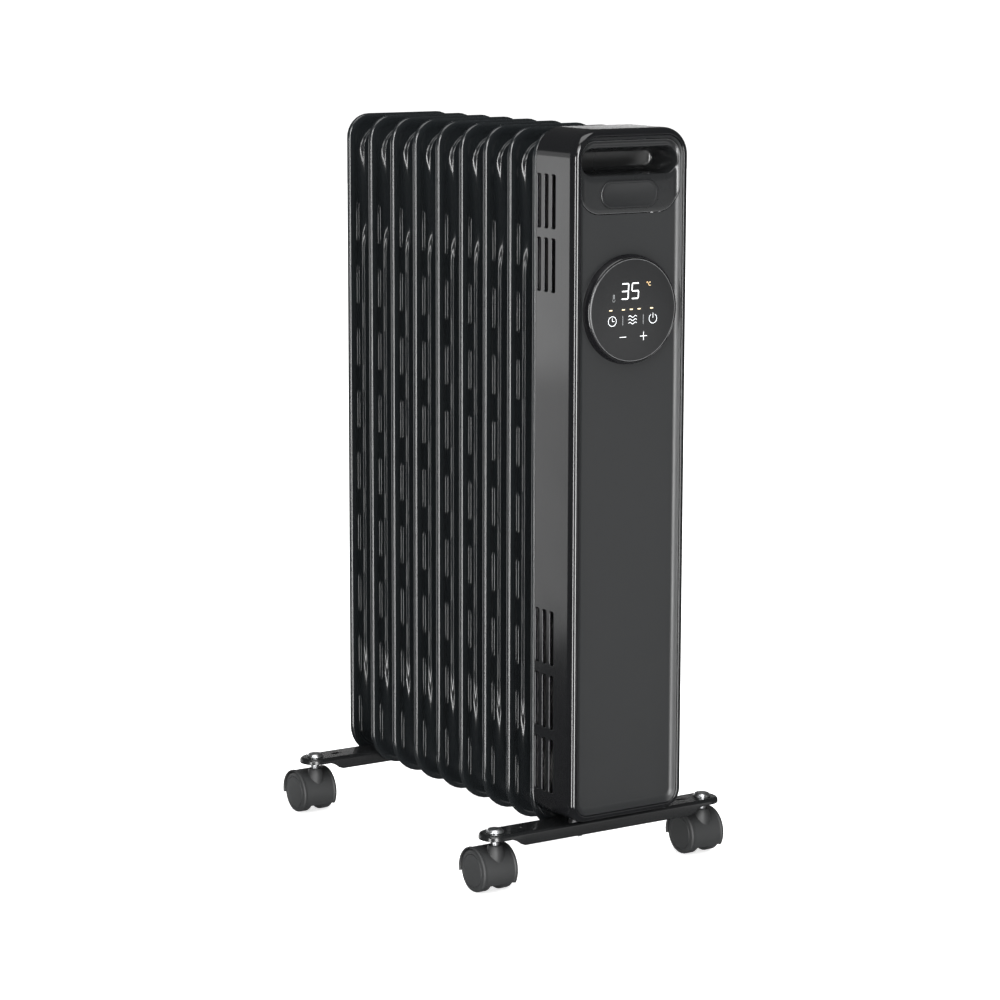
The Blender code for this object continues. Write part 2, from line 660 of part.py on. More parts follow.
def build_handle():
    """Make the handle insert with its finger recess, and the badge plate on it."""
    opening_z = HOUSING_TOP - INSERT_DROP - HANDLE_DROP - HANDLE_HEIGHT / 2
    insert = slab("handle_insert", insert_outline(0), PANEL_SHEET, (0, PANEL_Y + PANEL_SHEET / 2, 0))
    cup_depth = HANDLE_DEPTH + CUP_WALL
    cup = stadium(HANDLE_WIDTH + 2 * CUP_WALL, HANDLE_HEIGHT + 2 * CUP_WALL)
    cup_y = PANEL_Y + CUP_STEP + cup_depth / 2
    join(insert, slab("handle_cup", cup, cup_depth, (0, cup_y, opening_z)))
    hollow = stadium(HANDLE_WIDTH, HANDLE_HEIGHT)
    cut(insert, slab("handle_hollow", hollow, 2 * HANDLE_DEPTH, (0, PANEL_Y, opening_z)))
    dress(insert, GLOSS_BLACK)
    badge_z = HOUSING_TOP - INSERT_DROP - INSERT_HEIGHT + BADGE_RISE + BADGE_HEIGHT / 2
    badge = slab("badge_plate", stadium(BADGE_WIDTH, BADGE_HEIGHT), BADGE_SHEET,
                 (0, PANEL_Y - GAP - BADGE_SHEET / 2, badge_z))
    dress(badge, BADGE_BLACK)


def build_disc():
    """Make the round touch control: bezel, disc and display board."""
    foot = GAP
    face = DISC_PROUD - DISC_STEP
    inner = DISC_RADIUS + GAP
    profile = (
        (inner, face), (BEZEL_FACE_RADIUS, face), (BEZEL_BASE_RADIUS, face - BEZEL_EDGE),
        (BEZEL_BASE_RADIUS, foot), (inner, foot), (inner, face),
    )
    place = (0, PANEL_Y, DISC_Z)
    towards = Matrix.Rotation(math.radians(90), 4, "X")
    dress(turned("disc_bezel", profile, place, axis=towards, sides=2 * ROUND), GLOSS_BLACK)
    disc_y = PANEL_Y - DISC_PROUD + DISC_SHEET / 2
    dress(rod("touch_disc", DISC_RADIUS, DISC_SHEET, (0, disc_y, DISC_Z), sides=2 * ROUND), DISC_GLASS)
    board_y = PANEL_Y - DISC_PROUD + DISC_SHEET + 2 * GAP + BOARD_SHEET / 2
    board = rod("display_board", DISC_RADIUS - BOARD_INSET, BOARD_SHEET, (0, board_y, DISC_Z), sides=ROUND)
    dress(board, BOARD_GREEN)


def on_back_plate(depth):
    """Return the Y of the middle of a piece mounted on the back plate."""
    return BACK_PLATE_FRONT_Y - BOARD_BEHIND - depth / 2


def build_power_board():
    """Make the power board with its relays and transformer."""
    y = on_back_plate(POWER_BOARD.y)
    z = HOUSING_BASE + POWER_BOARD_RISE
    board = block("power_board", POWER_BOARD, (0, y, z))
    for size, across, up in BOARD_BLOCKS:
        lift = (POWER_BOARD.y + size.y) / 2 - GAP
        join(board, block("board_block", size, (across, y - lift, z + up)))
    dress(board, BOARD_GREEN)


def build_small_pieces():
    """Make the terminal block, tilt switch, thermal cutout and room sensor."""
    y = on_back_plate(TERMINAL_BLOCK.y)
    z = HOUSING_BASE + TERMINAL_RISE
    terminals = block("terminal_block", TERMINAL_BLOCK, (0, y, z))
    for place in (-1, 0, 1):
        cut(terminals, rod("terminal_hole", TERMINAL_HOLE, 2 * TERMINAL_BLOCK.z,
                           (place * TERMINAL_PITCH, y, z), axis=ALONG_Z, sides=8))
    dress(terminals, MOULDED_WHITE)

    y = on_back_plate(TILT_SWITCH.y)
    z = HOUSING_BASE + TILT_RISE
    switch = block("tilt_switch", TILT_SWITCH, (0, y, z))
    join(switch, block("switch_foot", TILT_FOOT, (0, y + (TILT_SWITCH.y - TILT_FOOT.y) / 2, z)))
    dress(switch, MOULDED_WHITE)

    profile = (
        (0, CUTOUT_CAP_REACH), (CUTOUT_CAP_RADIUS, CUTOUT_CAP_REACH), (CUTOUT_CAP_RADIUS, CUTOUT_DEPTH),
        (CUTOUT_RADIUS, CUTOUT_DEPTH), (CUTOUT_RADIUS, CUTOUT_FLANGE_SHEET),
        (CUTOUT_FLANGE_RADIUS, CUTOUT_FLANGE_SHEET), (CUTOUT_FLANGE_RADIUS, 0), (0, 0),
    )
    towards = Matrix.Rotation(math.radians(90), 4, "X")
    place = (CUTOUT_SIDE, BACK_PLATE_FRONT_Y - GAP, HOUSING_BASE + CUTOUT_RISE)
    dress(turned("thermal_cutout", profile, place, axis=towards, sides=SMALL), MOULDED_WHITE)

    place = (-CUTOUT_SIDE, on_back_plate(2 * SENSOR_RADIUS), HOUSING_BASE + SENSOR_RISE)
    dress(rod("room_sensor", SENSOR_RADIUS, SENSOR_LENGTH, place, axis=ALONG_Z), MOULDED_WHITE)


def build_wires():
    """Run a wire from each element tip up to the terminal block."""
    tip_y = HEADER_FRONT_Y - GAP - FLANGE_SHEET - ELEMENT_TIP
    block_y = on_back_plate(TERMINAL_BLOCK.y)
    block_base = HOUSING_BASE + TERMINAL_RISE - TERMINAL_BLOCK.z / 2
    for name, side, paint in (("live_wire", -1, WIRE_BROWN), ("neutral_wire", 1, WIRE_BLUE)):
        start = Vector((side * ELEMENT_SPREAD / 2, tip_y - WIRE_RADIUS, BOTTOM_HEADER_Z))
        end = Vector((side * TERMINAL_PITCH, block_y, block_base + WIRE_INTO_BLOCK))
        first = start + Vector((side * WIRE_SPREAD, -WIRE_FORWARD, 0))
        last = end - Vector((0, 0, WIRE_DROP))
        points = []
        for step in range(13):
            t = step / 12
            near = start.lerp(first, t)
            mid = first.lerp(last, t)
            far = last.lerp(end, t)
            points.append(near.lerp(mid, t).lerp(mid.lerp(far, t), t))
        tube(name, points, WIRE_RADIUS, paint, resolution=1)


def build_gland():
    """Make the cord gland in the housing's right side."""
    wall = HOUSING_WALL + 2 * GAP
    profile = (
        (GLAND_BORE, GLAND_REACH), (GLAND_NOSE_RADIUS, GLAND_REACH), (GLAND_FLANGE, GLAND_FLANGE_EDGE),
        (GLAND_FLANGE, 0), (GLAND_RADIUS, 0), (GLAND_RADIUS, -wall), (GLAND_NUT_RADIUS, -wall),
        (GLAND_NUT_RADIUS, -wall - GLAND_NUT_HEIGHT), (GLAND_BORE, -wall - GLAND_NUT_HEIGHT),
        (GLAND_BORE, GLAND_REACH),
    )
    place = (HOUSING_WIDTH / 2 + GAP, SHELL_BACK_Y - GLAND_AHEAD, gland_height())
    dress(turned("cord_gland", profile, place, axis=ALONG_X, sides=ROUND), CASTOR_PLASTIC)


# ------------------------------------------------------------------ feet
def foot_outline(inset):
    """Outline of a foot seen from above, with round ends about the stems."""
    end = FOOT_WIDTH / 2
    return stadium(STEM_SPACING + 2 * end - 2 * inset, FOOT_WIDTH - 2 * inset, 8)


def foot(name, y, bolts, bolt_radius):
    """Make a pressed channel foot, with holes for its stems and for its bolts."""
    middle = (FOOT_TOP + FOOT_BASE) / 2
    channel = slab(name, foot_outline(0), FOOT_DEPTH, (0, y, middle), facing=FLAT)
    hollow_top = FOOT_TOP - FOOT_SHEET
    cut(channel, slab(name + "_hollow", foot_outline(FOOT_SHEET), FOOT_DEPTH,
                      (0, y, hollow_top - FOOT_DEPTH / 2), facing=FLAT))
    lip_base = FOOT_TOP - FOOT_LIP
    outer = STEM_X + FOOT_WIDTH
    drop = 2 * OVERLAP
    run = drop * (FOOT_TAPER_END - FOOT_TAPER_START) / (lip_base - FOOT_BASE)
    for side in (-1, 1):
        points = [(side * (FOOT_TAPER_START - run), FOOT_BASE - drop), (side * outer, FOOT_BASE - drop),
                  (side * outer, lip_base), (side * FOOT_TAPER_END, lip_base)]
        cut(channel, slab(name + "_taper", points, FOOT_WIDTH + CUT_THROUGH, (0, y, 0)))
    for label, radius, spacing in (("stem", STEM_RADIUS, STEM_SPACING), ("bolt", bolt_radius, bolts)):
        hole = rod(f"{name}_{label}_hole", radius + GAP, 2 * FOOT_DEPTH, (-spacing / 2, y, FOOT_TOP), axis=ALONG_Z)
        repeat(hole, 2, (spacing, 0, 0))
        cut(channel, hole)
    return channel


def build_feet():
    """Make both feet; the rear one carries a saddle for the bottom header."""
    dress(foot("front_foot", FRONT_FOOT_Y, STUD_SPACING, STUD_RADIUS), FOOT_PAINT)
    rear = foot("rear_foot", REAR_FOOT_Y, 2 * U_BOLT_X, U_BOLT_RADIUS)
    rise = HEADER_SADDLE + SADDLE_GRIP
    saddle = block("saddle", Vector((SADDLE_WIDTH, FOOT_WIDTH / 2, rise + OVERLAP)),
                   (0, REAR_FOOT_Y, FOOT_TOP + (rise - OVERLAP) / 2))
    join(rear, saddle)
    cut(rear, rod("saddle_seat", HEADER_RADIUS + GAP, FOOT_WIDTH, (0, REAR_FOOT_Y, BOTTOM_HEADER_Z),
                  sides=ROUND))
    dress(rear, FOOT_PAINT)


def build_bracket():
    """Make the bracket inside the housing, with the two studs that carry the front foot."""
    sheet = FOOT_SHEET
    floor = HOUSING_BASE + HOUSING_WALL + GAP
    back = BACK_PLATE_FRONT_Y - GAP
    reach = back - (FRONT_FOOT_Y - FOOT_WIDTH / 2)
    width = STUD_SPACING + 4 * SPACER_RADIUS
    bracket = block("front_foot_bracket", Vector((width, reach, sheet)), (0, back - reach / 2, floor + sheet / 2))
    height = BOTTOM_HEADER_Z + HEADER_RADIUS + BRACKET_RISE - floor
    join(bracket, block("bracket_upright", Vector((2 * (HEADER_RADIUS + BRACKET_MARGIN), sheet, height)),
                        (0, back - sheet / 2, floor + height / 2)))
    cut(bracket, rod("bracket_bore", HEADER_RADIUS + GAP, 4 * sheet, (0, back, BOTTOM_HEADER_Z), sides=ROUND))
    shoulder = FOOT_TOP + GAP
    tip = FOOT_BASE - BOLT_END
    profile = (
        (0, floor + sheet / 2), (SPACER_RADIUS, floor + sheet / 2), (SPACER_RADIUS, shoulder),
        (STUD_RADIUS, shoulder), (STUD_RADIUS, tip), (0, tip),
    )
    for side in (-1, 1):
        join(bracket, turned("stud", profile, (side * STUD_SPACING / 2, FRONT_FOOT_Y, 0), sides=SMALL))
    dress(bracket, PLAIN_STEEL)


def build_u_bolt():
    """Make the U bolt that holds the bottom header down on the rear foot's saddle."""
    tip = FOOT_BASE - BOLT_END
    points = [(-U_BOLT_X, REAR_FOOT_Y, tip), (-U_BOLT_X, REAR_FOOT_Y, BOTTOM_HEADER_Z)]
    for step in range(1, 10):
        angle = math.pi * step / 10
        points.append((-U_BOLT_X * math.cos(angle), REAR_FOOT_Y, BOTTOM_HEADER_Z + U_BOLT_X * math.sin(angle)))
    points.append((U_BOLT_X, REAR_FOOT_Y, BOTTOM_HEADER_Z))
    points.append((U_BOLT_X, REAR_FOOT_Y, tip))
    tube("rear_u_bolt", points, U_BOLT_RADIUS, BRIGHT_ZINC)


def wing_nut(name, x, y, bore, turn):
    """Make a wing nut under a foot, its wings turned about the bolt."""
    top = FOOT_TOP - FOOT_SHEET - GAP
    profile = (
        (bore, 0), (NUT_RADIUS, 0), (NUT_RADIUS, -NUT_HEIGHT), (bore, -NUT_HEIGHT), (bore, 0),
    )
    nut = turned(name, profile, (x, y, top), sides=SMALL)
    reach = FOOT_WIDTH / 2 - FOOT_SHEET - 5 * GAP
    for side in (-1, 1):
        root = side * (NUT_RADIUS - OVERLAP)
        points = [(root, -OVERLAP), (root, -NUT_HEIGHT), (side * (reach - WING_TIP_WIDTH), -WING_DROP),
                  (side * reach, -WING_DROP + WING_SLOPE), (side * reach, -WING_TOP)]
        wing = slab(name + "_wing", points, WING_SHEET, (x, y, top))
        join(nut, wing)
    nut.rotation_euler.z = turn
    for step in nut.modifiers:
        step.object.rotation_euler.z = turn
    return dress(nut, BRIGHT_ZINC)


def build_wing_nuts():
    """Make the four wing nuts under the feet."""
    for side, word, turn in ((-1, "left", math.radians(90)), (1, "right", 0.0)):
        wing_nut(f"front_wing_nut_{word}", side * STUD_SPACING / 2, FRONT_FOOT_Y, STUD_RADIUS + GAP, turn)
        wing_nut(f"rear_wing_nut_{word}", side * U_BOLT_X, REAR_FOOT_Y, U_BOLT_RADIUS + GAP, turn)


# ------------------------------------------------------------------ castors
def stem_profile():
    """Return the stem's profile: a low head on the foot and a plain pin below."""
    head = FOOT_TOP + GAP
    return (
        (0, head + STEM_HEAD_HEIGHT), (STEM_HEAD_FLAT, head + STEM_HEAD_HEIGHT),
        (STEM_HEAD_RADIUS, head + STEM_HEAD_EDGE), (STEM_HEAD_RADIUS, head), (STEM_RADIUS, head),
        (STEM_RADIUS, stem_base()), (0, stem_base()),
    )


def stem_base():
    """Return the height of the stem's lower end, clear of the axle's level."""
    return WHEEL_RADIUS + AXLE_RADIUS + STEM_OVER_AXLE


def hood(name):
    """Make the mesh of a castor's hood about its axle: a cover over both wheels, a web and a boss."""
    width = 2 * HOOD_HALF_WIDTH
    body = rod(name, HOOD_RADIUS, width, (0, 0, 0), axis=ALONG_X, sides=HOOD_SIDES)
    boss_top = HOOD_RADIUS + BOSS_RISE
    join(body, rod(name + "_boss", BOSS_BASE_RADIUS, boss_top - BOSS_ROOT,
                   (0, -TRAIL, (boss_top + BOSS_ROOT) / 2), axis=ALONG_Z, sides=ROUND,
                   far_radius=BOSS_TOP_RADIUS))
    depth = HOOD_HALF_WIDTH - WEB_HALF_WIDTH
    for side in (-1, 1):
        middle = side * (WEB_HALF_WIDTH + depth)
        cut(body, rod(name + "_well", WHEEL_RADIUS + HOOD_GAP, 2 * depth, (middle, 0, 0),
                      axis=ALONG_X, sides=HOOD_SIDES))
    # the part below a plane that falls towards the stem is open
    opening = block(name + "_opening", Vector((width + CUT_THROUGH, 4 * HOOD_RADIUS, 2 * HOOD_RADIUS)),
                    (0, 0, 0))
    tilt = Matrix.Rotation(math.radians(HOOD_TILT), 4, "X")
    opening.data.transform(Matrix.Translation((0, 0, -HOOD_RADIUS - HOOD_OPEN)))
    opening.data.transform(tilt)
    cut(body, opening)
    socket_top = boss_top + CUT_THROUGH
    socket_base = stem_base() - GAP - WHEEL_RADIUS
    cut(body, rod(name + "_socket", STEM_RADIUS + GAP, socket_top - socket_base,
                  (0, -TRAIL, (socket_top + socket_base) / 2), axis=ALONG_Z))
    cut(body, rod(name + "_axle_hole", AXLE_RADIUS + GAP, width, (0, 0, 0), axis=ALONG_X))
    mesh = evaluated_mesh(body, name)
    bpy.data.objects.remove(body, do_unlink=True)
    return mesh


def wheel_mesh():
    """Make one wheel about its own axle, its outer face towards +X."""
    half = WHEEL_WIDTH / 2
    bore = AXLE_RADIUS + GAP
    profile = (
        (0, half), (WHEEL_RADIUS - WHEEL_EDGE, half), (WHEEL_RADIUS, half - WHEEL_EDGE),
        (WHEEL_RADIUS, -half + WHEEL_EDGE), (WHEEL_RADIUS - WHEEL_EDGE, -half), (bore, -half),
        (bore, half - WHEEL_CAP), (0, half - WHEEL_CAP),
    )
    made = turned("wheel", profile, (0, 0, 0), axis=ALONG_X, sides=ROUND + 4)
    mesh = made.data
    bpy.data.objects.remove(made, do_unlink=True)
    return mesh


def build_castors():
    """Make the four castors, each with its own swivel axis and two wheel axes."""
    wheel = wheel_mesh()
    profile = stem_profile()
    for row, y in (("f", FRONT_FOOT_Y), ("r", REAR_FOOT_Y)):
        for word, side in (("l", -1), ("r", 1)):
            name = f"castor_{row}{word}"
            x = side * STEM_X
            dress(turned(name + "_stem", profile, (x, y, 0), sides=SMALL), BRIGHT_ZINC)
            swivel = bpy.data.objects.new(name + "_swivel", None)
            swivel.location = (x, y, 0)
            PARTS.objects.link(swivel)
            cover = add(name + "_hood", hood(name + "_hood"), (0, TRAIL, WHEEL_RADIUS))
            cover.parent = swivel
            dress(cover, CASTOR_PLASTIC)
            half_axle = WHEEL_OUTER - WHEEL_CAP - GAP
            axle = rod(name + "_axle", AXLE_RADIUS, 2 * half_axle, (0, TRAIL, WHEEL_RADIUS), axis=ALONG_X)
            axle.parent = swivel
            dress(axle, PLAIN_STEEL)
            middle = (WHEEL_INNER + WHEEL_OUTER) / 2
            for hand, across, turn in (("left", -middle, math.pi), ("right", middle, 0.0)):
                made = add(f"{name}_wheel_{hand}", wheel, (across, TRAIL, WHEEL_RADIUS))
                made.rotation_euler.z = turn
                made.parent = swivel
                dress(made, CASTOR_PLASTIC)


# ------------------------------------------------------------------ the heater
build_fins()
header("top_header", TOP_HEADER_Z, -1)
header("bottom_header", BOTTOM_HEADER_Z, 1)
build_filler_plug()
build_element()
build_shell()
build_back_plate()
build_front_panel()
build_handle()
build_disc()
build_power_board()
build_small_pieces()
build_wires()
build_gland()
build_feet()
build_bracket()
build_u_bolt()
build_wing_nuts()
build_castors()
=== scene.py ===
"""Looks of an oil filled radiator heater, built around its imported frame.

Pressed steel fins stand in a row on two headers. A gloss black housing in
front of them holds a satin panel, a touch disc and a carrying handle, and two
pressed feet carry twin wheel castors.
"""

import logging
import math
from collections.abc import Callable, Sequence
from dataclasses import dataclass
from enum import Enum

import bmesh
import bpy
from mathutils import Matrix, Vector


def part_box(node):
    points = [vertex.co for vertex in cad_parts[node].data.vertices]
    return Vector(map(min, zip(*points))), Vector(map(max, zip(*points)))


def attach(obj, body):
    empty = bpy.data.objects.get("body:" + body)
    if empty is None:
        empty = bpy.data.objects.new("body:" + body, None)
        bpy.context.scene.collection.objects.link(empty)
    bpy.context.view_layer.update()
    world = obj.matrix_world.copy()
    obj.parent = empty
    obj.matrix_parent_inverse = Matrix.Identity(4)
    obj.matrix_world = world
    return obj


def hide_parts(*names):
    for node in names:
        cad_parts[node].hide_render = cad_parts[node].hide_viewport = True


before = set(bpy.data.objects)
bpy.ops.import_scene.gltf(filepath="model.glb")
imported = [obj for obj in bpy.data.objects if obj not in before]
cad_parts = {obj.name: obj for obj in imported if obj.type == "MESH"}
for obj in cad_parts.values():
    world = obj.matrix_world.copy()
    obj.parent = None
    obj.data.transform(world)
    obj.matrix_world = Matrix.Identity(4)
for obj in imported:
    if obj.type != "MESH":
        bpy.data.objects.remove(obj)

log = logging.getLogger("radiator_heater")

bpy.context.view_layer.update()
WELD = 1e-6                     # vertices nearer than this are one
ROOT = "root"
NOISE_RANGE = (0.3, 0.7)        # the part of a noise that the gloss follows
NOISE_DETAIL = 3.0
LEAST_ROUGHNESS = 0.02
SOFT_SEGMENTS = 2
TOOL_REACH = 0.01               # how far a cutting tool stands out of a face

Ring = list[bmesh.types.BMVert]
Outline = list[tuple[float, float]]
Profile = tuple[tuple[float, float], ...]
Height = Callable[[float, float], float]


# ---------------------------------------------------------------- finishes
def adjust(node: bpy.types.Node, values: dict[str, object]) -> None:
    """Set a node's inputs by their names."""
    for name, value in values.items():
        node.inputs[name].default_value = value


@dataclass(frozen=True)
class Finish:
    """A surface finish, made of nodes that read object coordinates."""

    name: str
    slot: str
    colour: tuple[float, float, float]
    roughness: float
    metallic: float = 0.0
    grain: float = 700.0
    bump: float = 0.12
    bump_depth: float = 0.00004
    mottle: float = 0.12
    gloss_spread: float = 0.05
    broad: float = 18.0
    specular: float = 0.5
    glow: float = 0.0

    def material(self) -> bpy.types.Material:
        """Build the finish the first time, and reuse it after that.

        Returns:
            The material.
        """
        label = f"finish_{self.name}"
        known = bpy.data.materials.get(label)
        if known:
            return known
        made = bpy.data.materials.new(label)
        made.use_nodes = True
        tree = made.node_tree
        shader = tree.nodes["Principled BSDF"]
        adjust(shader, {"Metallic": self.metallic, "Specular IOR Level": self.specular})
        place = tree.nodes.new("ShaderNodeTexCoord").outputs["Object"]
        fine = self.noise(tree, place, self.grain)
        broad = self.noise(tree, place, self.broad)

        bump = tree.nodes.new("ShaderNodeBump")
        adjust(bump, {"Strength": self.bump, "Distance": self.bump_depth})
        tree.links.new(fine, bump.inputs["Height"])
        tree.links.new(bump.outputs["Normal"], shader.inputs["Normal"])

        tint = tree.nodes.new("ShaderNodeMix")
        tint.data_type = "RGBA"
        darker = [part * (1 - self.mottle) for part in self.colour]
        lighter = [part * (1 + self.mottle) for part in self.colour]
        adjust(tint, {"A": (*darker, 1.0), "B": (*lighter, 1.0)})
        tree.links.new(broad, tint.inputs["Factor"])
        tree.links.new(tint.outputs["Result"], shader.inputs["Base Color"])

        gloss = tree.nodes.new("ShaderNodeMapRange")
        adjust(gloss, {"From Min": NOISE_RANGE[0], "From Max": NOISE_RANGE[1],
                       "To Min": max(LEAST_ROUGHNESS, self.roughness - self.gloss_spread),
                       "To Max": self.roughness + self.gloss_spread})
        tree.links.new(broad, gloss.inputs["Value"])
        tree.links.new(gloss.outputs["Result"], shader.inputs["Roughness"])
        if self.glow:
            adjust(shader, {"Emission Color": (*self.colour, 1.0), "Emission Strength": self.glow})
        return made

    @staticmethod
    def noise(tree: bpy.types.NodeTree, place: bpy.types.NodeSocket, scale: float) -> bpy.types.NodeSocket:
        """Add a noise texture to a node tree.

        Args:
            tree: The node tree.
            place: The socket that gives the place on the surface.
            scale: How many blotches there are to a metre.

        Returns:
            The socket that gives the noise.
        """
        texture = tree.nodes.new("ShaderNodeTexNoise")
        adjust(texture, {"Scale": scale, "Detail": NOISE_DETAIL})
        tree.links.new(place, texture.inputs["Vector"])
        return texture.outputs["Fac"]


FIN_ENAMEL = Finish("fin_enamel", "fin_paint", (0.0110, 0.0128, 0.0140), 0.15, grain=420, bump=0.02)
HEADER_ENAMEL = Finish("header_enamel", "header_steel", (0.0110, 0.0128, 0.0140), 0.18, grain=420)
GLOSS_SHELL = Finish("gloss_shell", "gloss_black_shell", (0.0065, 0.0068, 0.0075), 0.12, grain=260,
                     bump=0.03, gloss_spread=0.02)
GLOSS_INSERT = Finish("gloss_insert", "gloss_black_insert", (0.0150, 0.0158, 0.0165), 0.26, grain=900,
                      bump=0.05, gloss_spread=0.03)
GLOSS_BEZEL = Finish("gloss_bezel", "gloss_black_bezel", (0.007, 0.007, 0.008), 0.16, bump=0.02,
                     gloss_spread=0.02)
PANEL_SATIN = Finish("panel_satin", "satin_panel", (0.0180, 0.0192, 0.0202), 0.40, grain=1900, bump=0.10,
                     bump_depth=0.00003, mottle=0.05, gloss_spread=0.03)
BADGE_SATIN = Finish("badge_satin", "badge_black", (0.0155, 0.0162, 0.0170), 0.32, grain=1600, bump=0.06)
DISC_BLACK = Finish("disc_black", "disc_glass", (0.0165, 0.0170, 0.0178), 0.34, grain=1500, bump=0.05,
                    mottle=0.06)
FOOT_ENAMEL = Finish("foot_enamel", "foot_paint", (0.0090, 0.0095, 0.0100), 0.22, grain=600, bump=0.08)
CASTOR_NYLON = Finish("castor_nylon", "castor_plastic", (0.0215, 0.0228, 0.0236), 0.58, grain=2600,
                      bump=0.45, bump_depth=0.00006, mottle=0.18)
TYRE_NYLON = Finish("tyre_nylon", "castor_plastic", (0.0235, 0.0250, 0.0258), 0.52, grain=3200, bump=0.35,
                    bump_depth=0.00005, mottle=0.16)
ZINC = Finish("zinc", "bright_zinc", (0.52, 0.53, 0.54), 0.34, metallic=1.0, grain=1400, bump=0.18,
              mottle=0.10, gloss_spread=0.08, broad=220)
STEEL = Finish("steel", "plain_steel", (0.46, 0.46, 0.47), 0.38, metallic=1.0, grain=1200, bump=0.2,
               broad=160)
BOARD_RESIN = Finish("board_resin", "circuit_board", (0.018, 0.085, 0.040), 0.42, grain=1500, bump=0.2,
                     mottle=0.3, broad=300)
WHITE_MOULDING = Finish("white_moulding", "moulded_white", (0.66, 0.65, 0.61), 0.45, grain=1800)
BRASS = Finish("brass", "brass", (0.58, 0.42, 0.17), 0.30, metallic=1.0, grain=900, broad=150)
BROWN_SLEEVE = Finish("brown_sleeve", "wire_brown", (0.15, 0.055, 0.018), 0.42, grain=2500)
BLUE_SLEEVE = Finish("blue_sleeve", "wire_blue", (0.018, 0.075, 0.29), 0.42, grain=2500)
WHITE_MARK = Finish("white_mark", "disc_glass", (0.86, 0.88, 0.90), 0.5, mottle=0.02, glow=0.75)
WARM_MARK = Finish("warm_mark", "disc_glass", (0.90, 0.74, 0.46), 0.5, mottle=0.05, glow=0.55)
# A lighter grey for the thin ring along the handle insert's edge: a painted highlight where the rounded edge
# catches the light.
INSERT_EDGE_HIGHLIGHT = Finish("painted_edge_highlight", "gloss_black_insert", (0.075, 0.076, 0.078), 0.24, bump=0.02)
# A light grey for the thin ring inside the touch disc's rim: a painted highlight where the rim's bevel
# catches the light.
DISC_RIM_HIGHLIGHT = Finish("painted_disc_highlight", "disc_glass", (0.170, 0.172, 0.175), 0.22, bump=0.02)
GREY_MARK = Finish("grey_mark", "disc_glass", (0.34, 0.35, 0.36), 0.5, mottle=0.03, glow=0.12)


# ---------------------------------------------------------------- mesh work
class Axis(Enum):
    """The axis that a turned piece is spun about, with the direction its profile starts in."""

    X = (Vector((1, 0, 0)), Vector((0, 0, 1)))
    Y = (Vector((0, 1, 0)), Vector((0, 0, 1)))
    Z = (Vector((0, 0, 1)), Vector((1, 0, 0)))


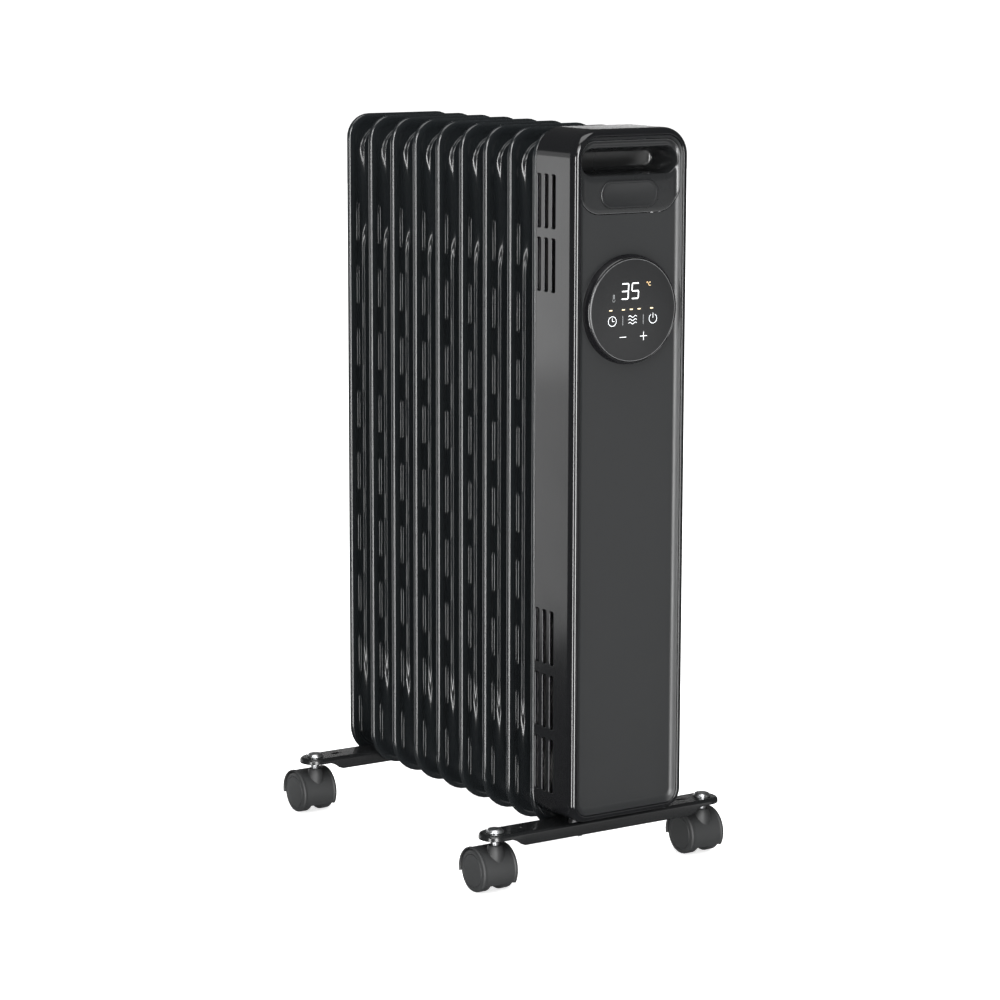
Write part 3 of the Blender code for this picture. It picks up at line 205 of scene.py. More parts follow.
class Workpiece:
    """A mesh being shaped, in metres in the frame."""

    def __init__(self, name: str) -> None:
        """Start an empty workpiece under a name."""
        self.name = name
        self.mesh = bmesh.new()

    def ring(self, points: Sequence[Vector]) -> Ring:
        """Start a surface from a closed loop of points.

        Args:
            points: The loop's corners, in order.

        Returns:
            The loop's vertices, in order.
        """
        made = bmesh.ops.create_circle(self.mesh, cap_ends=False, radius=1.0, segments=len(points))["verts"]
        for vertex, point in zip(made, points):
            vertex.co = point
        return list(made)

    def edges(self, ring: Ring) -> list[bmesh.types.BMEdge]:
        """Return the edges of a closed loop."""
        return [self.mesh.edges.get(pair) for pair in zip(ring, ring[1:] + ring[:1])]

    def follow(self, ring: Ring, points: Sequence[Vector]) -> Ring:
        """Extrude a loop to the next loop of the surface.

        Args:
            ring: The loop to extrude.
            points: Where its vertices go.

        Returns:
            The new loop's vertices, in the same order.
        """
        geometry = bmesh.ops.extrude_edge_only(self.mesh, edges=self.edges(ring))["geom"]
        made = {part for part in geometry if isinstance(part, bmesh.types.BMVert)}
        following = []
        for vertex, point in zip(ring, points):
            partner = next(edge.other_vert(vertex) for edge in vertex.link_edges
                           if edge.other_vert(vertex) in made)
            partner.co = point
            following.append(partner)
        return following

    def cap(self, ring: Ring) -> None:
        """Fill a closed loop with one face."""
        bmesh.ops.edgeloop_fill(self.mesh, edges=self.edges(ring))

    def loft(self, loops: Sequence[Sequence[Vector]], start: bool = True,
             end: bool = True) -> tuple[Ring, Ring]:
        """Make a surface through loops that have the same number of points.

        Args:
            loops: The loops, in order.
            start: Whether the first loop is filled.
            end: Whether the last loop is filled.

        Returns:
            The first and the last loop's vertices.
        """
        first = ring = self.ring(loops[0])
        if start:
            self.cap(first)
        for points in loops[1:]:
            ring = self.follow(ring, points)
        if end:
            self.cap(ring)
        return first, ring

    def tube(self, loops: Sequence[Sequence[Vector]]) -> None:
        """Make a surface through loops, and close the last onto the first."""
        first, last = self.loft(loops, start=False, end=False)
        bmesh.ops.bridge_loops(self.mesh, edges=self.edges(first) + self.edges(last))

    def lathe(self, profile: Outline, centre: Vector, axis: Axis, steps: int) -> None:
        """Spin a profile about an axis.

        Args:
            profile: Pairs of a radius and a distance along the axis.
            centre: The point that distances are measured from.
            axis: The axis.
            steps: How many steps the turn has.
        """
        along, across = axis.value
        made = [self.mesh.verts.new(centre + across * radius + along * reach) for radius, reach in profile]
        lines = [self.mesh.edges.new(pair) for pair in zip(made, made[1:])]
        bmesh.ops.spin(self.mesh, geom=made + lines, cent=centre, axis=along, dvec=Vector(), angle=math.tau,
                       steps=steps, use_merge=True, use_normal_flip=False, use_duplicate=False)

    def shift(self, move: Vector) -> None:
        """Move everything made so far."""
        bmesh.ops.translate(self.mesh, verts=self.mesh.verts, vec=move)

    def plain(self) -> bpy.types.Object:
        """Turn the workpiece into an undressed object.

        Returns:
            The object, at the origin.
        """
        bmesh.ops.remove_doubles(self.mesh, verts=self.mesh.verts, dist=WELD)
        bmesh.ops.recalc_face_normals(self.mesh, faces=self.mesh.faces)
        mesh = bpy.data.meshes.new(self.name)
        self.mesh.to_mesh(mesh)
        self.mesh.free()
        made = bpy.data.objects.new(self.name, mesh)
        bpy.context.scene.collection.objects.link(made)
        return made

    def carve(self, tool: "Workpiece") -> None:
        """Cut another workpiece out of this one.

        Args:
            tool: The workpiece that is cut out. It is used up.
        """
        blank, cutter = self.plain(), tool.plain()
        step = blank.modifiers.new("carve", "BOOLEAN")
        step.operation = "DIFFERENCE"
        step.solver = "EXACT"
        step.object = cutter
        graph = bpy.context.evaluated_depsgraph_get()
        carved = bpy.data.meshes.new_from_object(blank.evaluated_get(graph))
        self.mesh = bmesh.new()
        self.mesh.from_mesh(carved)
        for used in (blank, cutter):
            bpy.data.objects.remove(used, do_unlink=True)

    def finish(self, finish: Finish, body: str = ROOT, replaces: Sequence[str] = (), sharp: float = 38.0,
               soften: float = 0.0) -> None:
        """Turn the workpiece into a dressed piece that rides on a body.

        Args:
            finish: The finish it wears.
            body: The body it rides on.
            replaces: The CAD nodes that it stands for.
            sharp: The angle in degrees past which an edge stays sharp.
            soften: The width of the bevel along its sharp edges.
        """
        made = self.plain()
        made.data.materials.append(finish.material())
        made.data.shade_smooth()
        made.data.set_sharp_from_angle(angle=math.radians(sharp))
        if soften:
            bevel = made.modifiers.new("soft_edges", "BEVEL")
            bevel.width = soften
            bevel.segments = SOFT_SEGMENTS
            bevel.limit_method = "ANGLE"
            bevel.angle_limit = math.radians(sharp)
            weights = made.modifiers.new("flat_shading", "WEIGHTED_NORMAL")
            weights.keep_sharp = True
        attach(made, body)
        if replaces:
            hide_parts(*replaces)
        log.info("%s rides on %s in %s", made.name, body, finish.name)


def rounded(half_width: float, low: float, high: float, low_radius: float, high_radius: float,
            steps: int = 8, levels: Sequence[float] = ()) -> Outline:
    """Draw an upright rectangle with round corners, anticlockwise from its lower right corner.

    Args:
        half_width: Half of its width.
        low: The height of its lower edge.
        high: The height of its upper edge.
        low_radius: The radius of the lower corners.
        high_radius: The radius of the upper corners.
        steps: How many steps a corner has.
        levels: Heights at which both sides get a point.

    Returns:
        Pairs of a place across and a height.
    """
    points: Outline = []

    def corner(across: float, up: float, radius: float, start: float) -> None:
        """Add the points of one corner."""
        for step in range(steps + 1):
            turn = math.radians(start + 90 * step / steps)
            points.append((across + radius * math.cos(turn), up + radius * math.sin(turn)))

    corner(half_width - low_radius, low + low_radius, low_radius, -90)
    points += [(half_width, level) for level in levels]
    corner(half_width - high_radius, high - high_radius, high_radius, 0)
    corner(-half_width + high_radius, high - high_radius, high_radius, 90)
    points += [(-half_width, level) for level in reversed(levels)]
    corner(-half_width + low_radius, low + low_radius, low_radius, 180)
    return points


def stadium(width: float, height: float, across: float = 0.0, up: float = 0.0, steps: int = 3) -> Outline:
    """Draw a slot with round ends about a middle point.

    Args:
        width: Its width.
        height: Its height.
        across: The place across of its middle.
        up: The height of its middle.
        steps: How many steps each quarter of an end has.

    Returns:
        Pairs of a place across and a height.
    """
    radius = min(width, height) / 2
    drawn = rounded(width / 2, -height / 2, height / 2, radius, radius, steps)
    return [(across + x, up + z) for x, z in drawn]


def upright(outline: Outline, y: float | Height) -> list[Vector]:
    """Stand an outline up, at one depth or at the depth that a surface has there.

    Args:
        outline: Pairs of a place across and a height.
        y: The depth, or a function of the place.

    Returns:
        The points.
    """
    return [Vector((x, y(x, z) if callable(y) else y, z)) for x, z in outline]


def ease(value: float, low: float, high: float) -> float:
    """Return 0 below one limit, 1 above the other, and a smooth step between them."""
    share = min(1.0, max(0.0, (value - low) / (high - low)))
    return share * share * (3 - 2 * share)


def between(first: float, second: float, share: float) -> float:
    """Return the value part of the way from one to another."""
    return first + (second - first) * share


# ---------------------------------------------------------------- radiator body
@dataclass
class FinRow:
    """The pressed fins: a rolled rim, a thin web with slots pressed along it, and an oil chamber."""

    count: int = 9
    low_radius: float = 0.0310
    high_radius: float = 0.0220
    rim_half: float = 0.0025
    rim_fold: float = 0.0050
    web_half: float = 0.0008
    rim_profile: Profile = (
        (0.0000, 0.00), (0.0002, 0.42), (0.0008, 0.76), (0.0018, 0.96), (0.0028, 1.00), (0.0048, 1.00),
        (0.0064, 0.86), (0.0086, 0.30), (0.0102, 0.00))
    chamber_wide: float = 0.0470
    chamber_narrow: float = 0.0436
    chamber_soft: float = 0.0345
    wall_lean: float = 0.0012
    chamber_top: float = 0.0098
    chamber_bottom: float = 0.0115
    chamber_radius: float = 0.0270
    chamber_low_radius: float = 0.0240
    wall_profile: Profile = (
        (-0.45, 0.00), (0.00, 0.00), (0.20, 0.08), (0.50, 0.50), (0.75, 0.88), (0.95, 0.98), (1.15, 1.00),
        (1.60, 1.00))
    soft_high: tuple[float, float, float, float] = (0.470, 0.508, 0.530, 0.585)
    soft_low: tuple[float, float] = (0.050, 0.115)
    level_step: float = 0.0060
    slot_side: float = 0.0485
    slot_width: float = 0.0033
    slot_height: float = 0.0352
    slot_pitch: float = 0.0570
    slot_top: float = 0.5144
    slot_count: int = 9
    slot_lift: float = 0.0003
    slot_profile: Profile = (
        (0.0000, -0.0004), (0.0002, 0.0007), (0.0006, 0.0010), (0.0009, 0.0007), (0.0011, 0.0001))

    def __post_init__(self) -> None:
        """Take a fin's size from the frame."""
        low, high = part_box("fin_1")
        self.half_width = (high.x - low.x) / 2
        self.height = high.z - low.z
        self.chamber_half = (high.y - low.y) / 2

    def build(self) -> None:
        """Make every fin in its place."""
        for number in range(1, self.count + 1):
            node = f"fin_{number}"
            low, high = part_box(node)
            fin = Workpiece(f"{node}_pressing")
            self.press(fin)
            fin.shift(Vector(((low.x + high.x) / 2, (low.y + high.y) / 2, low.z)))
            fin.finish(FIN_ENAMEL, replaces=[node], sharp=50)

    def levels(self, low: float, high: float) -> list[float]:
        """Return evenly spaced heights between two heights, as many for every outline."""
        count = round(self.height / self.level_step)
        return [between(low, high, (step + 1) / (count + 1)) for step in range(count)]

    def rim_outline(self, inset: float) -> Outline:
        """Draw the fin's edge moved inwards."""
        low, high = inset, self.height - inset
        low_radius, high_radius = self.low_radius - inset, self.high_radius - inset
        return rounded(self.half_width - inset, low, high, low_radius, high_radius,
                       levels=self.levels(self.low_radius, self.height - self.high_radius))

    def softness(self, up: float) -> float:
        """Return how far the chamber's wall is spread out at a height, from 0 to 1."""
        start, full, fading, gone = self.soft_high
        upper = ease(up, start, full) * (1 - ease(up, fading, gone))
        lower = 1 - ease(up, *self.soft_low)
        return max(upper, lower)

    def chamber_outline(self, share: float) -> Outline:
        """Draw a line along the chamber's wall.

        Args:
            share: 0 at the foot of the wall and 1 at the edge of the chamber's face.

        Returns:
            The outline.
        """
        inset = self.wall_lean * share
        low, high = self.chamber_bottom + inset, self.height - self.chamber_top - inset
        low_radius, high_radius = self.chamber_low_radius - inset, self.chamber_radius - inset
        drawn = rounded(self.chamber_wide - inset, low, high, low_radius, high_radius,
                        levels=self.levels(low + low_radius, high - high_radius))
        narrowing = self.chamber_wide - self.chamber_narrow
        points = []
        for across, up in drawn:
            straight = (1 - ease(up, self.soft_high[0], self.soft_high[3])) * ease(up, *self.soft_low)
            slope = (self.chamber_narrow - self.chamber_soft) * self.softness(up) * max(0.0, share)
            scale = 1 - (narrowing * straight + slope) / self.chamber_wide
            points.append((across * scale, up))
        return points

    def press(self, fin: Workpiece) -> None:
        """Shape one fin about its middle plane, its lower edge at the origin's height.

        Args:
            fin: The workpiece.
        """
        web, face = self.web_half, self.chamber_half
        for side in (-1, 1):
            loops = []
            for inset, share in self.rim_profile:
                least = web if inset > self.rim_fold else 0
                loops.append(upright(self.rim_outline(inset), side * between(least, self.rim_half, share)))
            loops += [upright(self.chamber_outline(share), side * between(web, face, rise))
                      for share, rise in self.wall_profile]
            fin.loft(loops, start=False)
            self.press_slots(fin, side)

    def press_slots(self, fin: Workpiece, side: int) -> None:
        """Add the narrow slots pressed along both edges.

        Args:
            fin: The workpiece.
            side: -1 for the front sheet and 1 for the rear one.
        """
        for hand in (-1, 1):
            for number in range(self.slot_count):
                middle = self.slot_top - self.slot_height / 2 - number * self.slot_pitch
                loops = []
                for inset, rise in self.slot_profile:
                    drawn = stadium(self.slot_width - 2 * inset, self.slot_height - 2 * inset,
                                    hand * self.slot_side, middle, steps=2)
                    loops.append(upright(drawn, side * (self.web_half + self.slot_lift + rise)))
                fin.loft(loops, start=False)


@dataclass
class Headers:
    """The two oil headers that the fins stand on, with flared necks between the fins."""

    radius: float = 0.0175
    flare: float = 0.0045
    reach: float = 0.0060
    bead: float = 0.0006
    sink: float = 0.0005
    weld_half: float = 0.0012
    into_fin: float = 0.0010
    flare_shares: tuple[float, ...] = (0.0, 0.2, 0.45, 0.7, 1.0)
    count: int = 9

    def build(self) -> None:
        """Make both headers."""
        for node in ("top_header", "bottom_header"):
            low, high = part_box(node)
            faces = [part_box(f"fin_{number}") for number in range(1, self.count + 1)]
            header = Workpiece(f"{node}_tube")
            centre = Vector((0, 0, (low.z + high.z) / 2))
            rear = high.y - self.sink
            profile = [(0.0, rear), (self.radius, rear)]
            for behind, ahead in zip(faces, faces[1:]):
                profile += self.neck(behind[0].y, ahead[1].y)
            profile += [(self.radius, low.y), (0.0, low.y)]
            header.lathe(profile, centre, Axis.Y, steps=48)
            header.finish(HEADER_ENAMEL, replaces=[node])

    def neck(self, rear: float, front: float) -> list[tuple[float, float]]:
        """Return the profile between two fins, flared at both ends and welded in the middle.

        Args:
            rear: The Y of the front face of the fin behind.
            front: The Y of the rear face of the fin ahead.

        Returns:
            Pairs of a radius and a Y.
        """
        middle = (rear + front) / 2
        half = [(self.radius + self.flare * (1 - share) ** 2, share * self.reach)
                for share in self.flare_shares]
        first = [(radius, rear - step) for radius, step in half]
        second = [(radius, front + step) for radius, step in reversed(half)]
        weld = [(self.radius, middle + self.weld_half), (self.radius + self.bead, middle),
                (self.radius, middle - self.weld_half)]
        return [(self.radius, rear + self.into_fin), *first, *weld, *second,
                (self.radius, front - self.into_fin)]


# ---------------------------------------------------------------- housing
@dataclass
class Housing:
    """The control housing: a gloss shell with side grilles and a dished satin panel."""

    low_radius: float = 0.0170
    high_radius: float = 0.0230
    wall: float = 0.0022
    fillet_depth: float = 0.0075
    fillet_inset: float = 0.0050
    seam: float = 0.0062
    seam_gap: float = 0.0002
    seam_step: float = 0.0010
    recess: float = 0.0050
    dish_end: float = 0.0124
    dish_power: float = 1.9
    slot_width: float = 0.0058
    slot_pitch: float = 0.0105
    slot_inset: float = 0.0042
    slot_columns: int = 3
    upper_rows: int = 2
    lower_rows: int = 3
    upper_slots: tuple[float, float, float] = (0.0442, 0.0522, 0.0372)
    lower_slots: tuple[float, float, float] = (0.0460, 0.0549, 0.0216)
    insert_half: float = 0.0495
    insert_height: float = 0.0600
    insert_drop: float = 0.0092
    insert_low_radius: float = 0.0200
    handle_width: float = 0.0950
    handle_height: float = 0.0220
    handle_drop: float = 0.0065
    groove: float = 0.0004
    corner_steps: int = 12
    least_radius: float = 0.0020
    fillet_steps: int = 10
    lip_start: Profile = ((0.0056, 0.00015), (0.0060, 0.0005))
    lip_depth: float = 0.0045
    lip_back: float = 0.0100
    slot_corner: float = 0.0017
    panel_sheet: float = 0.0022
    panel_edge: float = 0.0032
    dish_shares: tuple[float, ...] = (0, 0.1, 0.22, 0.36, 0.52, 0.68, 0.84, 1)
    insert_proud: float = 0.0002
    insert_edge: Profile = (
        (0.0, 0.0020), (0.0, 0.0005), (0.0002, 0.0001), (0.0006, 0.0))
    insert_shares: tuple[float, ...] = (0.12, 0.28, 0.46, 0.64, 0.82, 1.0)
    handle_lip: Profile = ((-0.0006, 0.0002), (-0.0002, 0.0006), (0.0, 0.0013))
    handle_lip_width: float = 0.0011
    handle_wall: Profile = (
        (0.0003, 0.0080), (0.0008, 0.0240), (0.0016, 0.0305), (0.0034, 0.0328), (0.0060, 0.0333))
    # Profile of the lighter ring along the insert's edge, a painted highlight.
    painted_edge_highlight: Profile = (
        (0.0004, 0.0002), (0.0004, -0.0001), (0.0008, -0.0001), (0.0008, 0.0002))
    badge_profile: Profile = (
        (0.0, 0.0010), (0.0, 0.0004), (0.0002, 0.0001), (0.0007, 0.0), (0.0016, 0.0), (0.0020, 0.0002),
        (0.0026, 0.0003))

    def __post_init__(self) -> None:
        """Take the housing's place from the frame."""
        low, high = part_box("housing_shell")
        self.half_width = (high.x - low.x) / 2
        self.low, self.high = low.z, high.z
        self.front, self.back = low.y, high.y
        self.panel = self.front + self.recess

    def build(self) -> None:
        """Make the shell, the panel, the handle and the badge."""
        self.build_shell()
        self.build_panel()
        self.build_insert()
        self.build_badge()

    def outline(self, inset: float) -> Outline:
        """Draw the housing's front view moved inwards."""
        return rounded(self.half_width - inset, self.low + inset, self.high - inset,
                       max(self.least_radius, self.low_radius - inset),
                       max(self.least_radius, self.high_radius - inset), self.corner_steps)

    def insert_outline(self, inset: float) -> Outline:
        """Draw the handle insert's edge moved inwards."""
        high = self.high - self.insert_drop
        return rounded(self.insert_half - inset, high - self.insert_height + inset, high - inset,
                       self.insert_low_radius - inset, self.high_radius - self.insert_drop - inset)

    def handle_outline(self, inset: float) -> Outline:
        """Draw the handle's opening moved inwards."""
        middle = self.high - self.insert_drop - self.handle_drop - self.handle_height / 2
        half = self.handle_height / 2 - inset
        return rounded(self.handle_width / 2 - inset, middle - half, middle + half, half, half)

    def edge_distance(self, x: float, z: float) -> float:
        """Return how far inside the housing's outline a place is."""
        middle = (self.low + self.high) / 2
        radius = self.high_radius if z > middle else self.low_radius
        across = abs(x) - (self.half_width - radius)
        up = abs(z - middle) - ((self.high - self.low) / 2 - radius)
        outside = math.hypot(max(across, 0), max(up, 0))
        return radius - outside - min(max(across, up), 0)

    def dish(self, x: float, z: float) -> float:
        """Return the depth of the panel's dished surface at a place."""
        share = (self.edge_distance(x, z) - self.seam) / (self.dish_end - self.seam)
        rest = 1 - min(1.0, max(0.0, share))
        return self.panel - (self.recess - self.seam_step) * rest ** self.dish_power

    def build_shell(self) -> None:
        """Make the shell: side walls, a rounded front rim, a lip to the panel and the grilles."""
        shell = Workpiece("gloss_housing")
        loops = [upright(self.outline(0.0), self.back)]
        for step in range(self.fillet_steps + 1):
            turn = math.radians(90 * step / self.fillet_steps)
            inset = self.fillet_inset * (1 - math.cos(turn))
            loops.append(upright(self.outline(inset), self.front + self.fillet_depth * (1 - math.sin(turn))))
        lip = (*self.lip_start, (self.seam, self.seam_step), (self.seam, self.lip_depth),
               (self.wall, self.lip_back))
        for inset, depth in lip:
            loops.append(upright(self.outline(inset), self.front + depth))
        loops.append(upright(self.outline(self.wall), self.back))
        shell.tube(loops)
        shell.carve(self.slot_tool())
        shell.finish(GLOSS_SHELL, replaces=["housing_shell"], sharp=40, soften=0.0004)

    def slot_tool(self) -> Workpiece:
        """Make the tool that cuts the grilles.

        Returns:
            The tool.
        """
        tool = Workpiece("slot_tool")
        height, pitch, drop = self.upper_slots
        rows = [(self.high - drop - height / 2 - row * pitch, height) for row in range(self.upper_rows)]
        height, pitch, rise = self.lower_slots
        rows += [(self.low + rise + height / 2 + row * pitch, height) for row in range(self.lower_rows)]
        for side in (-1, 1):
            for middle, height in rows:
                for column in range(self.slot_columns):
                    y = self.back - self.slot_inset - column * self.slot_pitch
                    drawn = rounded(self.slot_width / 2, -height / 2, height / 2, self.slot_corner,
                                    self.slot_corner, 3)
                    tool.loft([[Vector((side * (self.half_width + reach), y + across, middle + up))
                                for across, up in drawn] for reach in (-2 * self.wall, self.wall)])
        return tool

    def build_panel(self) -> None:
        """Make the satin panel with its dished border and the opening for the handle insert."""
        panel = Workpiece("satin_front_panel")
        edge = self.seam + self.seam_gap
        loops = [upright(self.outline(self.dish_end), self.panel + self.panel_sheet),
                 upright(self.outline(edge), self.front + self.panel_edge)]
        insets = [between(edge, self.dish_end, share) for share in self.dish_shares]
        loops += [upright(self.outline(inset), self.dish) for inset in insets]
        panel.loft(loops)
        tool = Workpiece("insert_tool")
        hole = self.insert_outline(-self.groove)
        tool.loft([upright(hole, self.front - TOOL_REACH), upright(hole, self.panel + TOOL_REACH)])
        panel.carve(tool)
        panel.finish(PANEL_SATIN, replaces=["front_panel"], sharp=50, soften=0.0003)

    def build_insert(self) -> None:
        """Make the handle insert: a face that follows the panel, the deep hand recess, and a lighter ring
        along its edge as a painted highlight.
        """
        insert = Workpiece("handle_moulding")

        def surface(x: float, z: float) -> float:
            """Return the depth of the insert's face."""
            return self.dish(x, z) - self.insert_proud

        def sunk(outline: Outline, sink: float) -> list[Vector]:
            """Stand an outline up behind the insert's face."""
            return upright(outline, lambda x, z: surface(x, z) + sink)

        loops = [sunk(self.insert_outline(inset), sink) for inset, sink in self.insert_edge]
        outer = self.insert_outline(self.insert_edge[-1][0])
        inner = self.handle_outline(-self.handle_lip_width)
        for share in self.insert_shares:
            mixed = [(between(a, c, share), between(b, d, share)) for (a, b), (c, d) in zip(outer, inner)]
            loops.append(upright(mixed, surface))
        loops += [sunk(self.handle_outline(inset), sink) for inset, sink in self.handle_lip]
        loops += [upright(self.handle_outline(inset), self.panel + depth)
                  for inset, depth in self.handle_wall]
        insert.loft(loops, start=False)
        insert.finish(GLOSS_INSERT, replaces=["handle_insert"], sharp=60)
        # A thin lighter ring along the insert's edge: a painted highlight where the insert's rounded edge
        # would catch the light.
        line = Workpiece("insert_edge_line")
        line.tube([sunk(self.insert_outline(inset), sink) for inset, sink in self.painted_edge_highlight])
        line.finish(INSERT_EDGE_HIGHLIGHT, sharp=60)

    def build_badge(self) -> None:
        """Make the plain badge plate in its groove."""
        low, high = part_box("badge_plate")
        width, height = high.x - low.x, high.z - low.z
        middle = (low.z + high.z) / 2
        badge = Workpiece("plain_badge")
        loops = []
        for inset, depth in self.badge_profile:
            loops.append(upright(stadium(width - 2 * inset, height - 2 * inset, 0, middle, 8), low.y + depth))
        badge.loft(loops)
        badge.finish(BADGE_SATIN, replaces=["badge_plate"], sharp=60)


# ---------------------------------------------------------------- touch disc
@dataclass
class TouchDisc:
    """The round control: a gloss bezel, a satin black disc with a lighter ring inside its rim as a painted
    highlight, and its lit marks.
    """

    bezel_base: float = 0.0455
    bezel_face: float = 0.0440
    radius: float = 0.0428
    mark_sheet: float = 0.00005
    thin: float = 0.00040
    bar: float = 0.00105

    def __post_init__(self) -> None:
        """Take the disc's place from the frame."""
        low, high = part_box("touch_disc")
        self.face = low.y
        self.up = (low.z + high.z) / 2
        self.base = Housing().panel

    def build(self) -> None:
        """Make the bezel, the disc, a lighter ring inside its rim as a painted highlight, and the marks."""
        proud = self.base - self.face
        centre = Vector((0, self.base, self.up))
        bezel = Workpiece("disc_ring")
        profile = [(self.bezel_base, 0.0), (self.bezel_base - 0.0002, -0.0016),
                   (self.bezel_face + 0.0004, -proud + 0.0014), (self.bezel_face, -proud + 0.0007),
                   (self.bezel_face - 0.0004, -proud + 0.0003), (self.radius + 0.0005, -proud + 0.0003),
                   (self.radius + 0.0002, -proud + 0.0006), (self.radius + 0.0002, -0.0030),
                   (self.radius + 0.0002, 0.0), (self.bezel_base, 0.0)]
        bezel.lathe(profile, centre, Axis.Y, steps=128)
        bezel.finish(GLOSS_BEZEL, replaces=["disc_bezel"])
        disc = Workpiece("control_disc")
        front = -proud + self.mark_sheet
        profile = [(0.0, front), (self.radius - 0.0016, front), (self.radius - 0.0008, front + 0.0002),
                   (self.radius - 0.0001, front + 0.0007), (self.radius - 0.0001, front + 0.0020),
                   (0.0, front + 0.0020)]
        disc.lathe(profile, centre, Axis.Y, steps=128)
        disc.finish(DISC_BLACK, replaces=["touch_disc"])
        # A thin light grey ring inside the disc's rim: a painted highlight where the bevel would catch the
        # light.
        edge = Workpiece("disc_edge_line")
        line = [(self.radius - 0.0010, front + 0.0003), (self.radius - 0.0010, -proud),
                (self.radius - 0.0007, -proud), (self.radius - 0.0007, front + 0.0005)]
        edge.lathe([*line, line[0]], centre, Axis.Y, steps=128)
        edge.finish(DISC_RIM_HIGHLIGHT)
        self.build_marks()

    def stroke(self, mark: Workpiece, start: tuple[float, float], end: tuple[float, float],
               width: float, steps: int = 2) -> None:
        """Lay a straight stroke with round ends on the disc.

        Args:
            mark: The workpiece.
            start: Where it starts, from the disc's middle.
            end: Where it ends.
            width: Its width.
            steps: How many steps each quarter of an end has.
        """
        first, last = Vector(start), Vector(end)
        run = last - first
        turn = Matrix.Rotation(math.atan2(run.y, run.x), 2)
        middle = (first + last) / 2
        drawn = [turn @ Vector(point) + middle for point in stadium(run.length + width, width, steps=steps)]
        back = self.face + self.mark_sheet
        mark.loft([[Vector((x, y, self.up + z)) for x, z in drawn] for y in (back, self.face)])

    def trail(self, mark: Workpiece, points: Sequence[tuple[float, float]], width: float) -> None:
        """Lay a line of strokes through points."""
        for start, end in zip(points, points[1:]):
            self.stroke(mark, start, end, width)

    @staticmethod
    def arc(middle: tuple[float, float], radius: float, start: float, end: float,
            steps: int = 18) -> list[tuple[float, float]]:
        """Return points along an arc.

        Args:
            middle: Its centre.
            radius: Its radius.
            start: The angle that it starts at, in degrees.
            end: The angle that it ends at.
            steps: How many steps it has.

        Returns:
            The points.
        """
        angles = [math.radians(between(start, end, step / steps)) for step in range(steps + 1)]
        return [(middle[0] + radius * math.cos(a), middle[1] + radius * math.sin(a)) for a in angles]

    def build_marks(self) -> None:
        """Lay the temperature digits, the pilot dashes and the button symbols."""
        digits = Workpiece("digit_marks")
        self.digit(digits, -0.0082, "abcdg")
        self.digit(digits, 0.0020, "acdfg")
        digits.finish(WHITE_MARK)
        warm = Workpiece("warm_marks")
        self.trail(warm, self.arc((0.0141, 0.0222), 0.0005, 0, 360, 8), 0.0003)
        self.trail(warm, self.arc((0.0167, 0.0209), 0.0014, 55, 305, 10), 0.0004)
        for across in (-0.0224, -0.0097, -0.0018, 0.0060, 0.0187):
            self.stroke(warm, (across - 0.0011, 0.0008), (across + 0.0011, 0.0008), 0.0010)
        warm.finish(WARM_MARK)
        self.build_symbols()

    def digit(self, mark: Workpiece, across: float, lit: str) -> None:
        """Lay one seven-bar digit.

        Args:
            mark: The workpiece.
            across: The middle of the digit.
            lit: The letters of its lit bars, a at the top and g in the middle.
        """
        half, low, high, lean = 0.0033, 0.0096, 0.0221, 0.05
        middle = (low + high) / 2
        gap = 0.0005
        bars = {"a": ((-half, high), (half, high)), "b": ((half, high), (half, middle)),
                "c": ((half, middle), (half, low)), "d": ((-half, low), (half, low)),
                "e": ((-half, middle), (-half, low)), "f": ((-half, high), (-half, middle)),
                "g": ((-half, middle), (half, middle))}
        for letter in lit:
            ends = [Vector(point) for point in bars[letter]]
            inward = (ends[1] - ends[0]).normalized() * gap
            ends = [ends[0] + inward, ends[1] - inward]
            leaning = [(across + end.x + lean * (end.y - middle), end.y) for end in ends]
            self.stroke(mark, leaning[0], leaning[1], self.bar, steps=1)

    def build_symbols(self) -> None:
        """Lay the button symbols and the dim marks beside them."""
        plain = Workpiece("button_marks")
        thin = self.thin
        clock = (-0.0208, -0.0082)
        self.trail(plain, self.arc(clock, 0.0040, 0, 360), thin)
        self.trail(plain, ((clock[0], clock[1] + 0.0026), clock, (clock[0] + 0.0020, clock[1])), thin)
        for row in (-1, 0, 1):
            up = -0.0079 + row * 0.0027
            wave = [(-0.0045 + 0.0082 * step / 10, up + 0.0008 * math.sin(1.5 * math.tau * step / 10))
                    for step in range(11)]
            self.trail(plain, wave, thin)
        power = (0.0201, -0.0080)
        self.trail(plain, self.arc(power, 0.0039, 122, 418), thin)
        self.stroke(plain, (power[0], power[1] + 0.0046), (power[0], power[1] + 0.0006), thin)
        self.stroke(plain, (-0.0131, -0.0218), (-0.0069, -0.0218), thin * 1.2)
        self.stroke(plain, (0.0074, -0.0219), (0.0140, -0.0219), thin * 1.2)
        self.stroke(plain, (0.0107, -0.0252), (0.0107, -0.0186), thin * 1.2)
        plain.finish(WHITE_MARK)
        dim = Workpiece("dim_marks")
        for across in (-0.0103, 0.0103):
            self.stroke(dim, (across, -0.0118), (across, -0.0042), thin)
        bulb = (-0.0194, 0.0090)
        self.trail(dim, self.arc(bulb, 0.0012, 120, 420, 10), 0.0004)
        self.trail(dim, ((bulb[0] - 0.0006, bulb[1] + 0.0010), (bulb[0] - 0.0006, bulb[1] + 0.0045),
                         (bulb[0] + 0.0006, bulb[1] + 0.0045), (bulb[0] + 0.0006, bulb[1] + 0.0010)), 0.0004)
        dim.finish(GREY_MARK)


